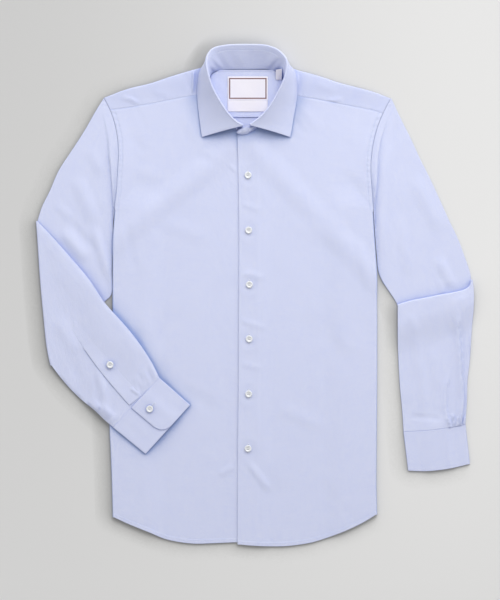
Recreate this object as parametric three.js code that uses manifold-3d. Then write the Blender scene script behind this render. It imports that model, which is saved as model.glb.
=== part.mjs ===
import * as THREE from "three";
import { mergeVertices } from "three/addons/utils/BufferGeometryUtils.js";
import Module from "manifold-3d";

// A long sleeve dress shirt, buttoned and laid flat face up, with both sleeves folded.
// Millimetres. +Y runs from the hem to the collar, +Z is up, and z = 0 is the surface it lies on.
// Right and left are the wearer's, so the shirt's right side lies towards -X.

const clothWall = 1.0;
const collarWall = 1.4;
const cuffWall = 1.1;
const labelWall = 0.6;
const layerPitch = 1.4; // from the middle of one layer of cloth to the middle of the next
const seamGap = 0.4;
const turnUnder = 48; // cloth folded under the body along each side
const turnUnderSlope = 38; // past the turned-under cloth the panels come down over this width
const sideRise = 60; // the hem climbs this much towards the side seam
const underarmY = 138;
const backSeamY = 291;
const frontLap = 33; // left front over right front
const rollRadius = 1.3; // of the collar leaf over the top of its stand
const leafInside = 8; // of the leaf that shows inside the neck, above the stand
const buttonRadius = 5.7;
const buttonHeight = 2.4;
const buttonSides = 12;
const holeRadius = 0.9;
const holeSides = 6;
const placketWidth = 25.5;

const clamp01 = (t) => Math.min(1, Math.max(0, t));
const ease = (t) => clamp01(t) ** 2 * (3 - 2 * clamp01(t));
const mix = (a, b, t) => a + (b - a) * t;
const layer = (n) => clothWall / 2 + layerPitch * n;
const steps = (from, to, count) => Array.from({ length: count + 1 }, (_, i) => mix(from, to, i / count));

// Reads a table whose first column rises. Each other column becomes a smooth function of the first.
function table(columns, rows) {
  const names = columns.split(" ");
  const readers = {};
  names.slice(1).forEach((name, c) => {
    const slope = (i) => {
      const before = rows[Math.max(0, i - 1)];
      const after = rows[Math.min(rows.length - 1, i + 1)];
      return (after[c + 1] - before[c + 1]) / (after[0] - before[0]);
    };
    readers[name] = (at) => {
      let i = rows.findIndex((row) => row[0] > at) - 1;
      if (i === -2) i = rows.length - 2;
      i = Math.max(0, i);
      const span = rows[i + 1][0] - rows[i][0];
      const t = clamp01((at - rows[i][0]) / span);
      const bulge = t * (1 - t) * span;
      const line = mix(rows[i][c + 1], rows[i + 1][c + 1], t);
      const chord = (rows[i + 1][c + 1] - rows[i][c + 1]) / span;
      return line + bulge * ((1 - t) * (slope(i) - chord) + t * (chord - slope(i + 1)));
    };
  });
  return readers;
}

// A smooth line seen from above, through points given as x y
function planLine(points) {
  const curve = new THREE.CatmullRomCurve3(
    points.map(([x, y]) => new THREE.Vector3(x, y, 0)), false, "centripetal");
  return (t) => curve.getPointAt(clamp01(t));
}

// Turns a grid of points on a cloth's middle surface into one closed wall
function wallFrom(grid, { thickness = clothWall, ring = false, keep = () => true } = {}) {
  const columns = grid[0].length;
  const index = (i, j) => i * columns + (j % columns);
  const points = grid.flat();
  const cells = [];
  for (let i = 0; i < grid.length - 1; i++) {
    for (let j = 0; j < (ring ? columns : columns - 1); j++) {
      if (keep(i, j)) cells.push([index(i, j), index(i, j + 1), index(i + 1, j + 1), index(i + 1, j)]);
    }
  }
  const normals = points.map(() => new THREE.Vector3());
  const diagonalA = new THREE.Vector3();
  const diagonalB = new THREE.Vector3();
  for (const [a, b, c, d] of cells) {
    diagonalA.subVectors(points[c], points[a]);
    diagonalB.subVectors(points[d], points[b]);
    const facing = diagonalA.cross(diagonalB).normalize();
    for (const corner of [a, b, c, d]) normals[corner].add(facing);
  }
  const positions = [];
  for (const side of [0.5, -0.5]) {
    points.forEach((point, k) => {
      const moved = point.clone().addScaledVector(normals[k].normalize(), side * thickness);
      positions.push(moved.x, moved.y, moved.z);
    });
  }
  const below = points.length;
  const triangles = [];
  const edges = new Set();
  for (const [a, b, c, d] of cells) {
    triangles.push(a, b, c, a, c, d);
    triangles.push(below + c, below + b, below + a, below + d, below + c, below + a);
    for (const [from, to] of [[a, b], [b, c], [c, d], [d, a]]) edges.add(`${from} ${to}`);
  }
  for (const edge of edges) {
    const [from, to] = edge.split(" ").map(Number);
    if (edges.has(`${to} ${from}`)) continue;
    triangles.push(from, below + from, below + to, from, below + to, to);
  }
  return closedGeometry(positions, triangles);
}

// Keeps only the vertices in use, and turns every face outward
function closedGeometry(positions, triangles) {
  const used = new Map();
  const kept = [];
  const corner = (k) => {
    if (!used.has(k)) {
      used.set(k, kept.length / 3);
      kept.push(positions[3 * k], positions[3 * k + 1], positions[3 * k + 2]);
    }
    return used.get(k);
  };
  const faces = triangles.map(corner);
  const at = (k) => new THREE.Vector3(kept[3 * k], kept[3 * k + 1], kept[3 * k + 2]);
  let volume = 0;
  for (let f = 0; f < faces.length; f += 3) {
    volume += at(faces[f]).dot(at(faces[f + 1]).cross(at(faces[f + 2])));
  }
  if (volume < 0) faces.reverse();
  const geometry = new THREE.BufferGeometry();
  geometry.setAttribute("position", new THREE.Float32BufferAttribute(kept, 3));
  geometry.setIndex(faces);
  geometry.computeVertexNormals();
  return geometry;
}

const shirt = new THREE.Group();
const materials = {
  cloth: new THREE.MeshStandardMaterial({ color: 0xd2d8ee, roughness: 0.85, metalness: 0 }),
  collarCloth: new THREE.MeshStandardMaterial({ color: 0xccd2ec, roughness: 0.8, metalness: 0 }),
  button: new THREE.MeshStandardMaterial({ color: 0xf0efe9, roughness: 0.3, metalness: 0 }),
  label: new THREE.MeshStandardMaterial({ color: 0xf2eef2, roughness: 0.7, metalness: 0 }),
};

function addPiece(name, geometry, material = materials.cloth) {
  const mesh = new THREE.Mesh(geometry, material);
  mesh.name = name;
  shirt.add(mesh);
  return mesh;
}

// The body's side outline: the fold below the underarm, the armhole seam above it
const sideOutline = table("y right left", [
  [-359, -231.8, 199.0],
  [-300, -233.6, 197.8],
  [-251, -235.5, 198.2],
  [-210, -237.0, 198.6],
  [-105, -234.0, 199.2],
  [-5, -232.4, 199.0],
  [60, -232.1, 197.2],
  [108, -230.6, 194.2],
  [140, -229.0, 192.6],
  [173, -225.3, 190.4],
  [197, -224.1, 188.6],
  [222, -222.5, 188.8],
  [254, -223.3, 193.6],
  [280, -228.2, 201.0],
  [302, -235.5, 210.4],
  [323, -246.0, 221.5],
]);

const hemLine = table("x right left back", [
  [-240, -355, -355, -352],
  [-204, -371.6, -371.6, -369],
  [-171, -385.0, -385, -382],
  [-147, -395.3, -395, -392],
  [-122, -400.7, -400, -397],
  [-98, -403.1, -403, -399],
  [-73, -402.6, -403, -399],
  [-28, -400.7, -404.2, -397],
  [-8, -400.5, -405.9, -397],
  [21, -400.5, -407.4, -398],
  [49, -401, -407.2, -400],
  [73, -401, -404.6, -400],
  [98, -398, -399.8, -396],
  [130, -388, -388.8, -385],
  [155, -378, -378.5, -375],
  [179, -366, -366.4, -363],
  [205, -350, -350.4, -347],
]);

// Where each front ends at the top: the yoke seam, then the neck seam
const frontTop = {
  right: table("x y", [
    [-240, 302.4], [-212, 306.0], [-171, 313.0], [-138, 319.5], [-106, 325.7], [-75, 331.0],
    [-69, 322.0], [-60, 306.0], [-48, 289.5], [-35, 275.2], [-24, 264.0], [-14, 262.6], [6, 264.0],
  ]),
  left: table("x y", [
    [-30, 264.4], [-20, 263.2], [-10, 264.0], [4, 274.6], [18, 288.8], [32, 305.2],
    [42.6, 321.6], [48.5, 330.0], [73, 325.2], [106, 319.5], [130, 314.6], [155, 309.7],
    [179, 305.1], [212, 296.6],
  ]),
};
const placketEdge = table("y x", [
  [-405, -28.2], [-251, -27.7], [-153, -26.7], [-5, -26.1], [91, -25.6], [157, -26.2],
  [222, -27.4], [266, -28.6],
]);

function namedRows(columns, groups) {
  const names = columns.split(" ");
  const read = (row) => Object.fromEntries(names.map((name, c) => [name, row[c]]));
  return Object.fromEntries(Object.entries(groups).map(([name, rows]) => [name, rows.map(read)]));
}

// Soft ridges in the cloth, each along a straight line, highest in its middle
const ridges = namedRows("x0 y0 x1 y1 width height", {
  rightFront: [
    [-120, 300, -95, 255, 12, 1.4],
    [-57, -292, -36, -276, 9, 1.2],
    [-200, 210, -150, 190, 16, 1.6],
  ],
  leftFront: [
    [-20, 37, 14, 30, 9, 1.2],
    [-10, -272, 24, -316, 10, 1.4],
    [150, 215, 182, 178, 14, 1.6],
  ],
  rightUpperArm: [
    [-312, 105, -275, 60, 15, 2.6],
    [-262, 110, -238, 35, 13, 2.2],
    [-290, 190, -262, 120, 18, 1.8],
  ],
  rightForearm: [
    [-268, -175, -224, -200, 9, 2.0],
    [-248, -140, -240, -190, 10, 1.8],
    [-320, -40, -292, -90, 16, 1.6],
  ],
  leftUpperArm: [
    [212, 250, 205, 60, 14, 2.4],
    [300, 60, 322, 12, 14, 2.0],
    [262, 190, 300, 110, 20, 1.8],
  ],
  leftForearm: [
    [322, -20, 338, -190, 12, 2.8],
    [308, -120, 314, -208, 9, 2.2],
    [338, -150, 326, -206, 9, 2.0],
    [262, -60, 276, -190, 16, 1.4],
  ],
});

function ridgeHeight(group, x, y) {
  let height = 0;
  for (const ridge of ridges[group]) {
    const alongX = ridge.x1 - ridge.x0;
    const alongY = ridge.y1 - ridge.y0;
    const length = Math.hypot(alongX, alongY);
    const along = ((x - ridge.x0) * alongX + (y - ridge.y0) * alongY) / length ** 2;
    const away = Math.abs((x - ridge.x0) * alongY - (y - ridge.y0) * alongX) / length;
    const taper = ease((along + 0.15) / 0.4) * ease((1.15 - along) / 0.4);
    height = Math.max(height, ridge.height * taper * ease(1 - away / ridge.width));
  }
  return height;
}

// The neck seam, the fold at the top of the collar and the collar's outer edge, from the
// right front round the back of the neck to the left front
const collarStations = [
  // neck x, y, z; fold x, y, z; edge x, y, z; how far out and how far down the leaf bellies
  { neck: [-22.8, 264.9, 3.9], fold: [-19.6, 278.7, 17], edge: [-85.9, 259.2, 3.9], out: 0.5, down: 0.3 },
  { neck: [-34.2, 277.1, 3.9], fold: [-29.3, 283.6, 19], edge: [-87.5, 268.9, 3.9], out: 0.5, down: 0.3 },
  { neck: [-47.3, 291.0, 3.8], fold: [-40.8, 294.2, 22], edge: [-89.6, 285.2, 3.9], out: 0.5, down: 0.3 },
  { neck: [-59.5, 307.3, 3.7], fold: [-52.2, 309.7, 26], edge: [-91.9, 303.2, 3.9], out: 0.5, down: 0.3 },
  { neck: [-68.5, 324.4, 3.5], fold: [-61.1, 324.4, 29], edge: [-93.6, 321.1, 3.9], out: 0.52, down: 0.3 },
  { neck: [-73.3, 340.7, 3.3], fold: [-68.5, 339.0, 32], edge: [-94.2, 337.4, 4.0], out: 0.55, down: 0.3 },
  { neck: [-74.2, 352.9, 3.1], fold: [-73.3, 353.7, 34], edge: [-93.6, 352.1, 4.2], out: 0.6, down: 0.3 },
  { neck: [-70.1, 362.7, 2.8], fold: [-76.9, 368.4, 35], edge: [-90.8, 364.3, 4.4], out: 0.7, down: 0.35 },
  { neck: [-62.8, 366.8, 2.2], fold: [-77.9, 380.6, 34], edge: [-83.9, 376.5, 3.6], out: 0.7, down: 0.5 },
  { neck: [-53.8, 368.4, 1.8], fold: [-75.3, 390.4, 31], edge: [-76.6, 383.0, 1.4], out: -0.2, down: 0.8 },
  { neck: [-44.0, 368.9, 1.6], fold: [-67.6, 399.7, 27], edge: [-65.2, 384.7, 0.9], out: -0.1, down: 0.9 },
  { neck: [-31.0, 369.2, 1.5], fold: [-47.3, 405.5, 23], edge: [-44.0, 384.7, 0.9], out: -0.02, down: 0.95 },
  { neck: [-14.7, 369.2, 1.5], fold: [-14.7, 407.0, 21], edge: [-14.7, 383.9, 0.9], out: -0.02, down: 0.95 },
  { neck: [1.6, 369.5, 1.5], fold: [16.3, 405.5, 23], edge: [14.7, 384.7, 0.9], out: -0.02, down: 0.95 },
  { neck: [14.7, 369.4, 1.6], fold: [35.0, 398.5, 27], edge: [35.9, 384.7, 0.9], out: -0.1, down: 0.9 },
  { neck: [24.4, 368.7, 1.8], fold: [44.8, 389.6, 31], edge: [48.1, 383.0, 1.4], out: -0.2, down: 0.8 },
  { neck: [33.4, 366.8, 2.2], fold: [49.9, 380.6, 34], edge: [56.2, 375.7, 3.6], out: 0.7, down: 0.5 },
  { neck: [41.6, 361.9, 2.8], fold: [50.5, 368.4, 35], edge: [64.4, 366.8, 4.4], out: 0.7, down: 0.35 },
  { neck: [46.6, 352.1, 3.1], fold: [47.8, 355.3, 34], edge: [68.8, 354.5, 4.2], out: 0.6, down: 0.3 },
  { neck: [46.9, 339.0, 3.3], fold: [41.9, 340.7, 32], edge: [69.1, 339.0, 4.0], out: 0.55, down: 0.3 },
  { neck: [41.6, 322.7, 3.5], fold: [33.4, 324.4, 29], edge: [67.8, 322.7, 3.9], out: 0.52, down: 0.3 },
  { neck: [31.0, 306.4, 3.9], fold: [23.6, 308.9, 26], edge: [65.2, 305.6, 3.9], out: 0.5, down: 0.3 },
  { neck: [17.1, 290.1, 4.8], fold: [12.2, 295.0, 23], edge: [61.9, 288.5, 3.9], out: 0.5, down: 0.3 },
  { neck: [3.3, 276.3, 5.2], fold: [1.6, 286.1, 20], edge: [59.2, 270.6, 3.9], out: 0.5, down: 0.3 },
  { neck: [-9.8, 265.7, 5.3], fold: [-8.1, 279.5, 18], edge: [57.0, 259.2, 3.9], out: 0.5, down: 0.3 },
].map((row) => ({
  ...row,
  neck: new THREE.Vector3(...row.neck),
  fold: new THREE.Vector3(...row.fold),
  edge: new THREE.Vector3(...row.edge),
}));

// Up is the way the stand rises, and outward is away from the opening
const collarFrame = collarStations.map((station, i) => {
  const before = collarStations[Math.max(0, i - 1)].fold;
  const after = collarStations[Math.min(collarStations.length - 1, i + 1)].fold;
  const round = new THREE.Vector3().subVectors(after, before).normalize();
  const up = new THREE.Vector3().subVectors(station.fold, station.neck).normalize();
  const outward = new THREE.Vector3().crossVectors(up, round).normalize();
  return { up, outward };
});

const neckPlan = collarStations.map((station) => station.neck);

function neckLift(x, y, reach = 28) {
  let nearest = Infinity;
  for (let i = 1; i < neckPlan.length; i++) {
    const a = neckPlan[i - 1];
    const b = neckPlan[i];
    const along = clamp01(((x - a.x) * (b.x - a.x) + (y - a.y) * (b.y - a.y))
      / ((b.x - a.x) ** 2 + (b.y - a.y) ** 2));
    nearest = Math.min(nearest, Math.hypot(x - mix(a.x, b.x, along), y - mix(a.y, b.y, along)));
  }
  return 2.0 * ease(1 - nearest / reach);
}

// How far in from the side outline a point lies, and how high the turned-under cloth lifts it
const sides = { right: { inward: 1 }, left: { inward: -1 } };
const insideBy = (side, x, y) => (x - sideOutline[side](y)) * sides[side].inward;
const liftAlong = (y) => ease((185 - y) / 45);
const slopeIn = (d) => ease((turnUnder + 2 + turnUnderSlope - d) / turnUnderSlope);
const armholeLift = (y) => ease((315 - y) / 110) * ease((y - 90) / 40);

function turnUnderLift(side, x, y) {
  return 2 * layerPitch * liftAlong(y) * slopeIn(insideBy(side, x, y));
}

function backHeight(x, y) {
  return layer(0) + Math.max(turnUnderLift("right", x, y), turnUnderLift("left", x, y));
}

function frontHeight(side, x, y) {
  const puffed = 2 * layerPitch * armholeLift(y) * ease(1 - insideBy(side, x, y) / 34);
  const lap = side === "left" ? layerPitch * ease((30 - x) / 22) : 0;
  const lift = Math.max(turnUnderLift(side, x, y), puffed);
  return layer(1) + 0.1 + lift + lap + neckLift(x, y) + ridgeHeight(`${side}Front`, x, y);
}

const foldInset = layerPitch * 1.5 + clothWall / 2; // from an outline to the middle of its outer turn
const bodyRows = [0, 0.05, 0.12, 0.2, 0.28, 0.36, 0.44, 0.52, 0.6, 0.68, 0.75, 0.79, 0.84, 0.89, 0.94, 0.97, 1];
const underarmRow = bodyRows.indexOf(0.75);
const stripReach = [turnUnder, 32, 16, 4];
const panelReach = [0, 22, 50, 62, 76, 92];
const turnAngles = [0.25, 0.5, 0.75].map((part) => part * Math.PI);

// Columns of a side zone, from the side seam under the body round the fold to the panel on top
function sideColumns(side, mainReach) {
  return [
    ...stripReach.map((reach) => ({ side, reach, part: "strip" })),
    ...turnAngles.map((angle) => ({ side, angle, part: "turn" })),
    ...mainReach.map((reach) => ({ side, reach, part: "main" })),
  ];
}

// One point of a body panel. Lower is the layer of the turned-under strip, upper that of the panel.
function bodyPoint(column, row, panel) {
  const { side } = column;
  const s = bodyRows[row];
  if (column.part === "plain") {
    let x = column.x;
    let y = 0;
    for (let pass = 0; pass < 3; pass++) {
      y = mix(panel.hem(x), panel.top(x), s);
      if (column.at) x = column.at(y);
    }
    return new THREE.Vector3(x, y, panel.height(x, y));
  }
  const { inward } = sides[side];
  const overStrip = row <= underarmRow;
  const inset = overStrip ? foldInset : seamGap / 2;
  const hemX = sideOutline[side](-355) + inward * inset;
  const topX = sideOutline[side](panel.sideTop) + inward * (seamGap / 2);
  if (column.part === "strip") {
    const far = (column.reach / turnUnder) ** 1.6;
    const hemY = panel.hem(hemX) + sideRise * far;
    const seamTop = underarmY - 45 * far;
    const y = mix(hemY, seamTop, s / bodyRows[underarmRow]);
    const x = sideOutline[side](y) + inward * (inset + column.reach);
    return new THREE.Vector3(x, y, layer(panel.lower));
  }
  const reach = column.part === "main" ? column.reach : 0;
  const y = mix(panel.hem(hemX + inward * reach), panel.top(topX + inward * reach), s);
  const edgeY = mix(panel.hem(hemX), panel.top(topX), s);
  const x = sideOutline[side](edgeY) + inward * (inset + reach);
  const height = panel.height(x, y);
  if (column.part === "main") return new THREE.Vector3(x, y, height);
  const radius = (height - layer(panel.lower)) / 2;
  const out = radius * Math.sin(column.angle);
  return new THREE.Vector3(x - inward * out, y, layer(panel.lower) + radius * (1 - Math.cos(column.angle)));
}

function bodyPanel(columns, panel) {
  const grid = bodyRows.map((_, row) => columns.map((column) => bodyPoint(column, row, panel)));
  const under = (j) => columns[j].part === "strip" || columns[j].part === "turn";
  const keep = (i, j) => i < underarmRow || !(under(j) || under(j + 1));
  return wallFrom(grid, { keep });
}

function frontPanel(side) {
  const edgeX = side === "right" ? -28 + frontLap : -28;
  const spanEnds = side === "right" ? [-124, -104, -84, -73] : [90, 73, 59, 48];
  const nearNeck = side === "right" ? [-66, -58, -48, -38, -28, -18, -8] : [42, 34, 24, 14, 4, -6, -16];
  const plain = [...spanEnds, ...nearNeck].map((x) => ({ part: "plain", x }));
  const edge = { part: "plain", x: edgeX, at: (y) => placketEdge.x(y) + (side === "right" ? frontLap : 0) };
  const columns = [...sideColumns(side, panelReach), ...plain, edge];
  return bodyPanel(columns, {
    hem: hemLine[side],
    top: frontTop[side].y,
    sideTop: side === "right" ? 302.8 : 297.2,
    lower: 0,
    height: (x, y) => frontHeight(side, x, y),
  });
}

addPiece("right_front", frontPanel("right"));
addPiece("left_front", frontPanel("left"));

const middle = [-124, -86, -50, -16, 18, 52, 86].map((x) => ({ part: "plain", x }));
addPiece("back", bodyPanel(
  [...sideColumns("right", panelReach), ...middle, ...sideColumns("left", panelReach).reverse()],
  {
    hem: hemLine.back,
    top: () => backSeamY - seamGap,
    sideTop: backSeamY,
    lower: 1,
    height: backHeight,
  }));

// The yoke runs from the front seams over the shoulder folds to the seam across the back
const shoulderLine = table("x y", [
  [-248, 322.6], [-204, 337.2], [-171, 345.0], [-138, 356.0], [-106, 365.6], [-86, 370.2], [-72, 367.0],
  [-60, 366.6], [-44, 367.6], [-14, 367.9], [15, 368.1], [33, 365.4],
  [44, 366.0], [56, 370.0], [73, 365.4], [106, 356.4], [138, 345.8], [171, 337.4], [196, 330.6],
  [223, 321.4],
]);
const neckSide = table("y right left", [
  [325, -69.6, 44.4], [331, -71.8, 47.2], [341, -74.7, 48.4], [353, -75.6, 48.2],
  [363, -72.4, 44.4], [368, -71.0, 42.8],
]);

function yokeGrid() {
  const lobe = (side, xs) => xs.map((x) => ({ side, x }));
  const columns = [
    ...lobe("right", ["armhole", -222, -200, -171, -138, -112, -96, -84, "neck"]),
    ...[-60, -44, -14, 15, 33].map((x) => ({ x })),
    ...lobe("left", ["neck", 56, 67, 82, 106, 134, 164, 188, 204, "armhole"]),
  ];
  const xAt = (column, y) => {
    const { side, x } = column;
    if (x === "armhole") return sideOutline[side](y) + sides[side].inward * seamGap / 2;
    if (x === "neck") return neckSide[side](y);
    return x;
  };
  const ends = {
    right: { armhole: { seam: -236.5, fold: -246 }, neck: { seam: -75.5, fold: -72 } },
    left: { armhole: { seam: 208.5, fold: 221.5 }, neck: { seam: 49, fold: 44 } },
  };
  const nearX = ({ side, x }, line) => (typeof x === "string" ? ends[side][x][line] : x);
  const frontRows = [0, 0.3, 0.6, 0.85, 1];
  const backRows = [0, 0.35, 0.7, 1];
  const rows = [
    ...frontRows.map((s) => ({ part: "front", s })),
    ...turnAngles.map((angle) => ({ part: "turn", angle })),
    ...backRows.map((s) => ({ part: "back", s })),
  ];
  const point = (row, column) => {
    const foldY = shoulderLine.y(nearX(column, "fold")) - clothWall;
    const seamY = column.side ? frontTop[column.side].y(nearX(column, "seam")) + seamGap : foldY;
    let y = foldY;
    if (row.part === "front") y = mix(seamY, foldY, row.s);
    if (row.part === "back") y = mix(foldY, backSeamY, row.s);
    const x = xAt(column, y);
    if (row.part === "back" || !column.side) return new THREE.Vector3(x, y, layer(0));
    const upper = layer(1) + 0.65 * neckLift(x, y, 22) * ease((foldY - y) / 12);
    if (row.part === "front") return new THREE.Vector3(x, y, upper);
    const radius = (upper - layer(0)) / 2;
    return new THREE.Vector3(x, y + radius * Math.sin(row.angle), upper - radius * (1 - Math.cos(row.angle)));
  };
  const grid = rows.map((row) => columns.map((column) => point(row, column)));
  const firstBack = rows.findIndex((row) => row.part === "back");
  const keep = (i, j) => i >= firstBack || (columns[j].side && columns[j].side === columns[j + 1].side);
  return { grid, keep };
}
const yoke = yokeGrid();
addPiece("yoke", wallFrom(yoke.grid, { keep: yoke.keep }));

// The inner yoke, as far as the neck opening shows it
const neckInside = table("y right left", [
  [291.5, -44.0, 14.5], [306, -56.2, 27.6], [323, -65.4, 37.9], [340, -71.2, 44.2], [352, -72.2, 44.4],
  [361, -69.4, 40.4], [366.8, -58, 29],
]);
const innerYokeGrid = [291.5, 300, 312, 326, 340, 350, 358, 363, 366.8].map((y) =>
  steps(0, 1, 8).map((f) => new THREE.Vector3(mix(neckInside.right(y), neckInside.left(y), f), y, layer(1))));
addPiece("yoke_inner", wallFrom(innerYokeGrid));

// The stand wraps the neck, and its left end laps over its right end
const standTopBy = leafInside + seamGap + 0.2;
function standGrid() {
  const lapAt = table("i under", [[0, 1], [2, 0.5], [4, 0], [20, 0], [22, -0.4], [24, -0.8]]);
  const columns = collarStations.map((station, i) => {
    const { up, outward } = collarFrame[i];
    const length = station.fold.distanceTo(station.neck) - standTopBy;
    return steps(0, 1, 3).map((f) =>
      station.neck.clone().addScaledVector(up, f * length).addScaledVector(outward, -0.9 * lapAt.under(i)));
  });
  const end = (bottom, top) => steps(0, 1, 3).map((f) =>
    new THREE.Vector3(...bottom).lerp(new THREE.Vector3(...top), f));
  columns.unshift(end([-10.5, 266.6, 3.6], [-9.5, 274.2, 9.6]));
  columns.push(end([-22, 263.9, 6.6], [-20.5, 270.6, 13.6]));
  columns.push(end([-29, 266.0, 6.6], [-28, 268.4, 9.0]));
  return columns;
}
addPiece("collar_stand", wallFrom(standGrid(), { thickness: collarWall }), materials.collarCloth);

// The leaf starts inside the neck, rolls over the top of the stand and falls to its outer edge
function leafGrid() {
  const column = (station, { up, outward }) => {
    const on = (along, across) =>
      station.fold.clone().addScaledVector(up, along).addScaledVector(outward, across);
    const rollEnd = on(-rollRadius, 2 * rollRadius);
    const belly = new THREE.Vector3(
      mix(station.fold.x, station.edge.x, station.out),
      mix(station.fold.y, station.edge.y, station.out),
      mix(rollEnd.z, station.edge.z, station.down));
    const fall = new THREE.QuadraticBezierCurve3(rollEnd, belly, station.edge);
    return [
      on(-leafInside, 0),
      on(-rollRadius, 0),
      on(-0.3 * rollRadius, 0.3 * rollRadius),
      on(0, rollRadius),
      on(-0.3 * rollRadius, 1.7 * rollRadius),
      ...steps(0, 1, 5).map((t) => fall.getPoint(t)),
    ];
  };
  return collarStations.map((station, i) => column(station, collarFrame[i]));
}
addPiece("collar_leaf", wallFrom(leafGrid(), { thickness: collarWall }), materials.collarCloth);

// Labels lie on the inner yoke, and the size tab leans up the inside of the stand
function labelPlate(corners, heights) {
  const [left, right, low, high] = corners;
  const zAt = (f, g) => mix(mix(heights[0], heights[1], f), mix(heights[2], heights[3], f), g);
  const grid = steps(0, 1, 2).map((g) => steps(0, 1, 3).map((f) =>
    new THREE.Vector3(mix(left, right, f), mix(low, high, g), zAt(f, g))));
  return wallFrom(grid, { thickness: labelWall });
}
const labelLevel = layer(1) + clothWall / 2 + labelWall / 2 + 0.3;
addPiece("label_main", labelPlate([-44.6, 21.2, 318.6, 357.4], Array(4).fill(labelLevel)), materials.label);
addPiece("label_lower", labelPlate([-44.6, 20.6, 300.4, 318.2], Array(4).fill(labelLevel)), materials.label);
addPiece("size_tab", labelPlate([34.0, 43.6, 352.0, 367.6], [3.4, 4.2, 9.5, 22.5]), materials.label);

// Each sleeve is a flattened tube. A leg is a stretch between two folds, and its four edge lines
// run from its start to its end (inner, outer) and from its inner to its outer side (start, end).
function coons(leg, s, w) {
  const p = leg.inner(s).multiplyScalar(1 - w).addScaledVector(leg.outer(s), w);
  p.addScaledVector(leg.start(w), 1 - s).addScaledVector(leg.end(w), s);
  p.addScaledVector(leg.start(0), -(1 - s) * (1 - w)).addScaledVector(leg.start(1), -(1 - s) * w);
  return p.addScaledVector(leg.end(0), -s * (1 - w)).addScaledVector(leg.end(1), -s * w);
}

function creaseNormal(line, w, towards) {
  const along = new THREE.Vector3().subVectors(line(Math.min(1, w + 0.05)), line(Math.max(0, w - 0.05)));
  const across = new THREE.Vector3(-along.y, along.x, 0).normalize();
  if (across.dot(towards) < 0) across.negate();
  return across;
}

const tubeAcross = [0, 0.06, 0.16, 0.28, 0.42, 0.58, 0.74, 0.88, 1];
function tubeColumns() {
  const front = tubeAcross.map((w) => ({ w, q: 1 }));
  const back = tubeAcross.map((w) => ({ w, q: 0 })).reverse();
  return [...front, { w: 1, q: 0.5, edge: true }, ...back, { w: 0, q: 0.5, edge: true }];
}

function sleeveGrid(legs) {
  const columns = tubeColumns();
  const grid = [];
  const plan = (leg, s, { w, edge }) => {
    const width = leg.inner(s).distanceTo(leg.outer(s));
    const inset = (edge ? clothWall / 2 : clothWall / 2 + layerPitch / 2) / width;
    const p = coons(leg, s, mix(inset, 1 - inset, w));
    if (leg.startTurn) {
      p.addScaledVector(creaseNormal(leg.start, w, leg.startTurn), -foldInset * ease(1 - s / 0.4));
    }
    if (leg.endTurn) {
      p.addScaledVector(creaseNormal(leg.end, w, leg.endTurn), -foldInset * ease((s - 0.6) / 0.4));
    }
    return p;
  };
  const height = (leg, s, column, p) => {
    const q = leg.flip ? 1 - column.q : column.q;
    return layer(leg.level + q) + leg.lift(p.x, p.y, column, s);
  };
  legs.forEach((leg, k) => {
    for (const s of leg.rows) {
      grid.push(columns.map((column) => {
        const p = plan(leg, s, column);
        p.z = height(leg, s, column, p);
        return p;
      }));
    }
    const next = legs[k + 1];
    if (!next) return;
    for (const angle of turnAngles) {
      grid.push(columns.map((column) => {
        const p = plan(leg, 1, column);
        const low = height(leg, 1, column, p);
        const radius = (height(next, 0, column, p) - low) / 2;
        p.addScaledVector(creaseNormal(leg.end, column.w, leg.endTurn), radius * Math.sin(angle));
        p.z = low + radius * (1 - Math.cos(angle));
        return p;
      }));
    }
  });
  return grid;
}

// The strip of sleeve beside the armhole stands as high as the body, then steps down at its tuck
const tuckWidth = { right: 12, left: 10 };
const tuckStep = 2.2;
function armholeLine(side) {
  const { inward } = sides[side];
  return (w) => {
    const y = mix(underarmY + 1, 322.5, w);
    return new THREE.Vector3(sideOutline[side](y) - inward * seamGap / 2, y, 0);
  };
}

function upperArmLift(side) {
  return (x, y, column) => {
    if (column.q === 0) return 0;
    const away = -insideBy(side, x, y);
    const width = tuckWidth[side] * Math.sqrt(Math.max(0, Math.sin(Math.PI * clamp01(column.w)))) + 1;
    const tucked = 2 * layerPitch * armholeLift(y) * (1 - ease((away - width) / tuckStep));
    const share = column.q === 1 ? 1 : 0.5;
    return share * (tucked + (column.q === 1 ? ridgeHeight(`${side}UpperArm`, x, y) : 0));
  };
}

// Rows of the upper arm: close together across the tuck, then even down to the elbow
function upperArmRows(length) {
  return [0, 3, 8, 12.5, 15, 20].map((mm) => mm / length).concat(steps(0.2, 1, 7));
}

const rightCreaseLine = planLine([[-333.6, -114.0], [-339.7, -83.1], [-344.7, -35.9],
  [-350.4, 26.1], [-354.2, 83.1], [-357.0, 122.0]]);
const rightCuffSeam = planLine([[-231.5, -213.0], [-200.5, -181.0], [-155.7, -132.6]]);
const viewUp = new THREE.Vector3(0, 1, 0);
const viewDown = new THREE.Vector3(0, -1, 0);
const viewLeft = new THREE.Vector3(-1, 0, 0);

// The right forearm lies over the upper arm, then over the turned-under side of the body
function rightForearmLift(x, y) {
  const inside = insideBy("right", x, y);
  const climb = ease((inside + 60) / 46);
  const overBody = climb * ease((122 - inside) / 52);
  const edge = new THREE.Vector2(-333.3 + 244.5, -114.9 + 10.3).normalize();
  const pastArm = (x + 244.5) * edge.y - (y + 10.3) * edge.x;
  const offArm = ease((-pastArm - 6) / 40);
  return 2 * layerPitch * overBody - 1.6 * offArm * (1 - climb);
}

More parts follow.
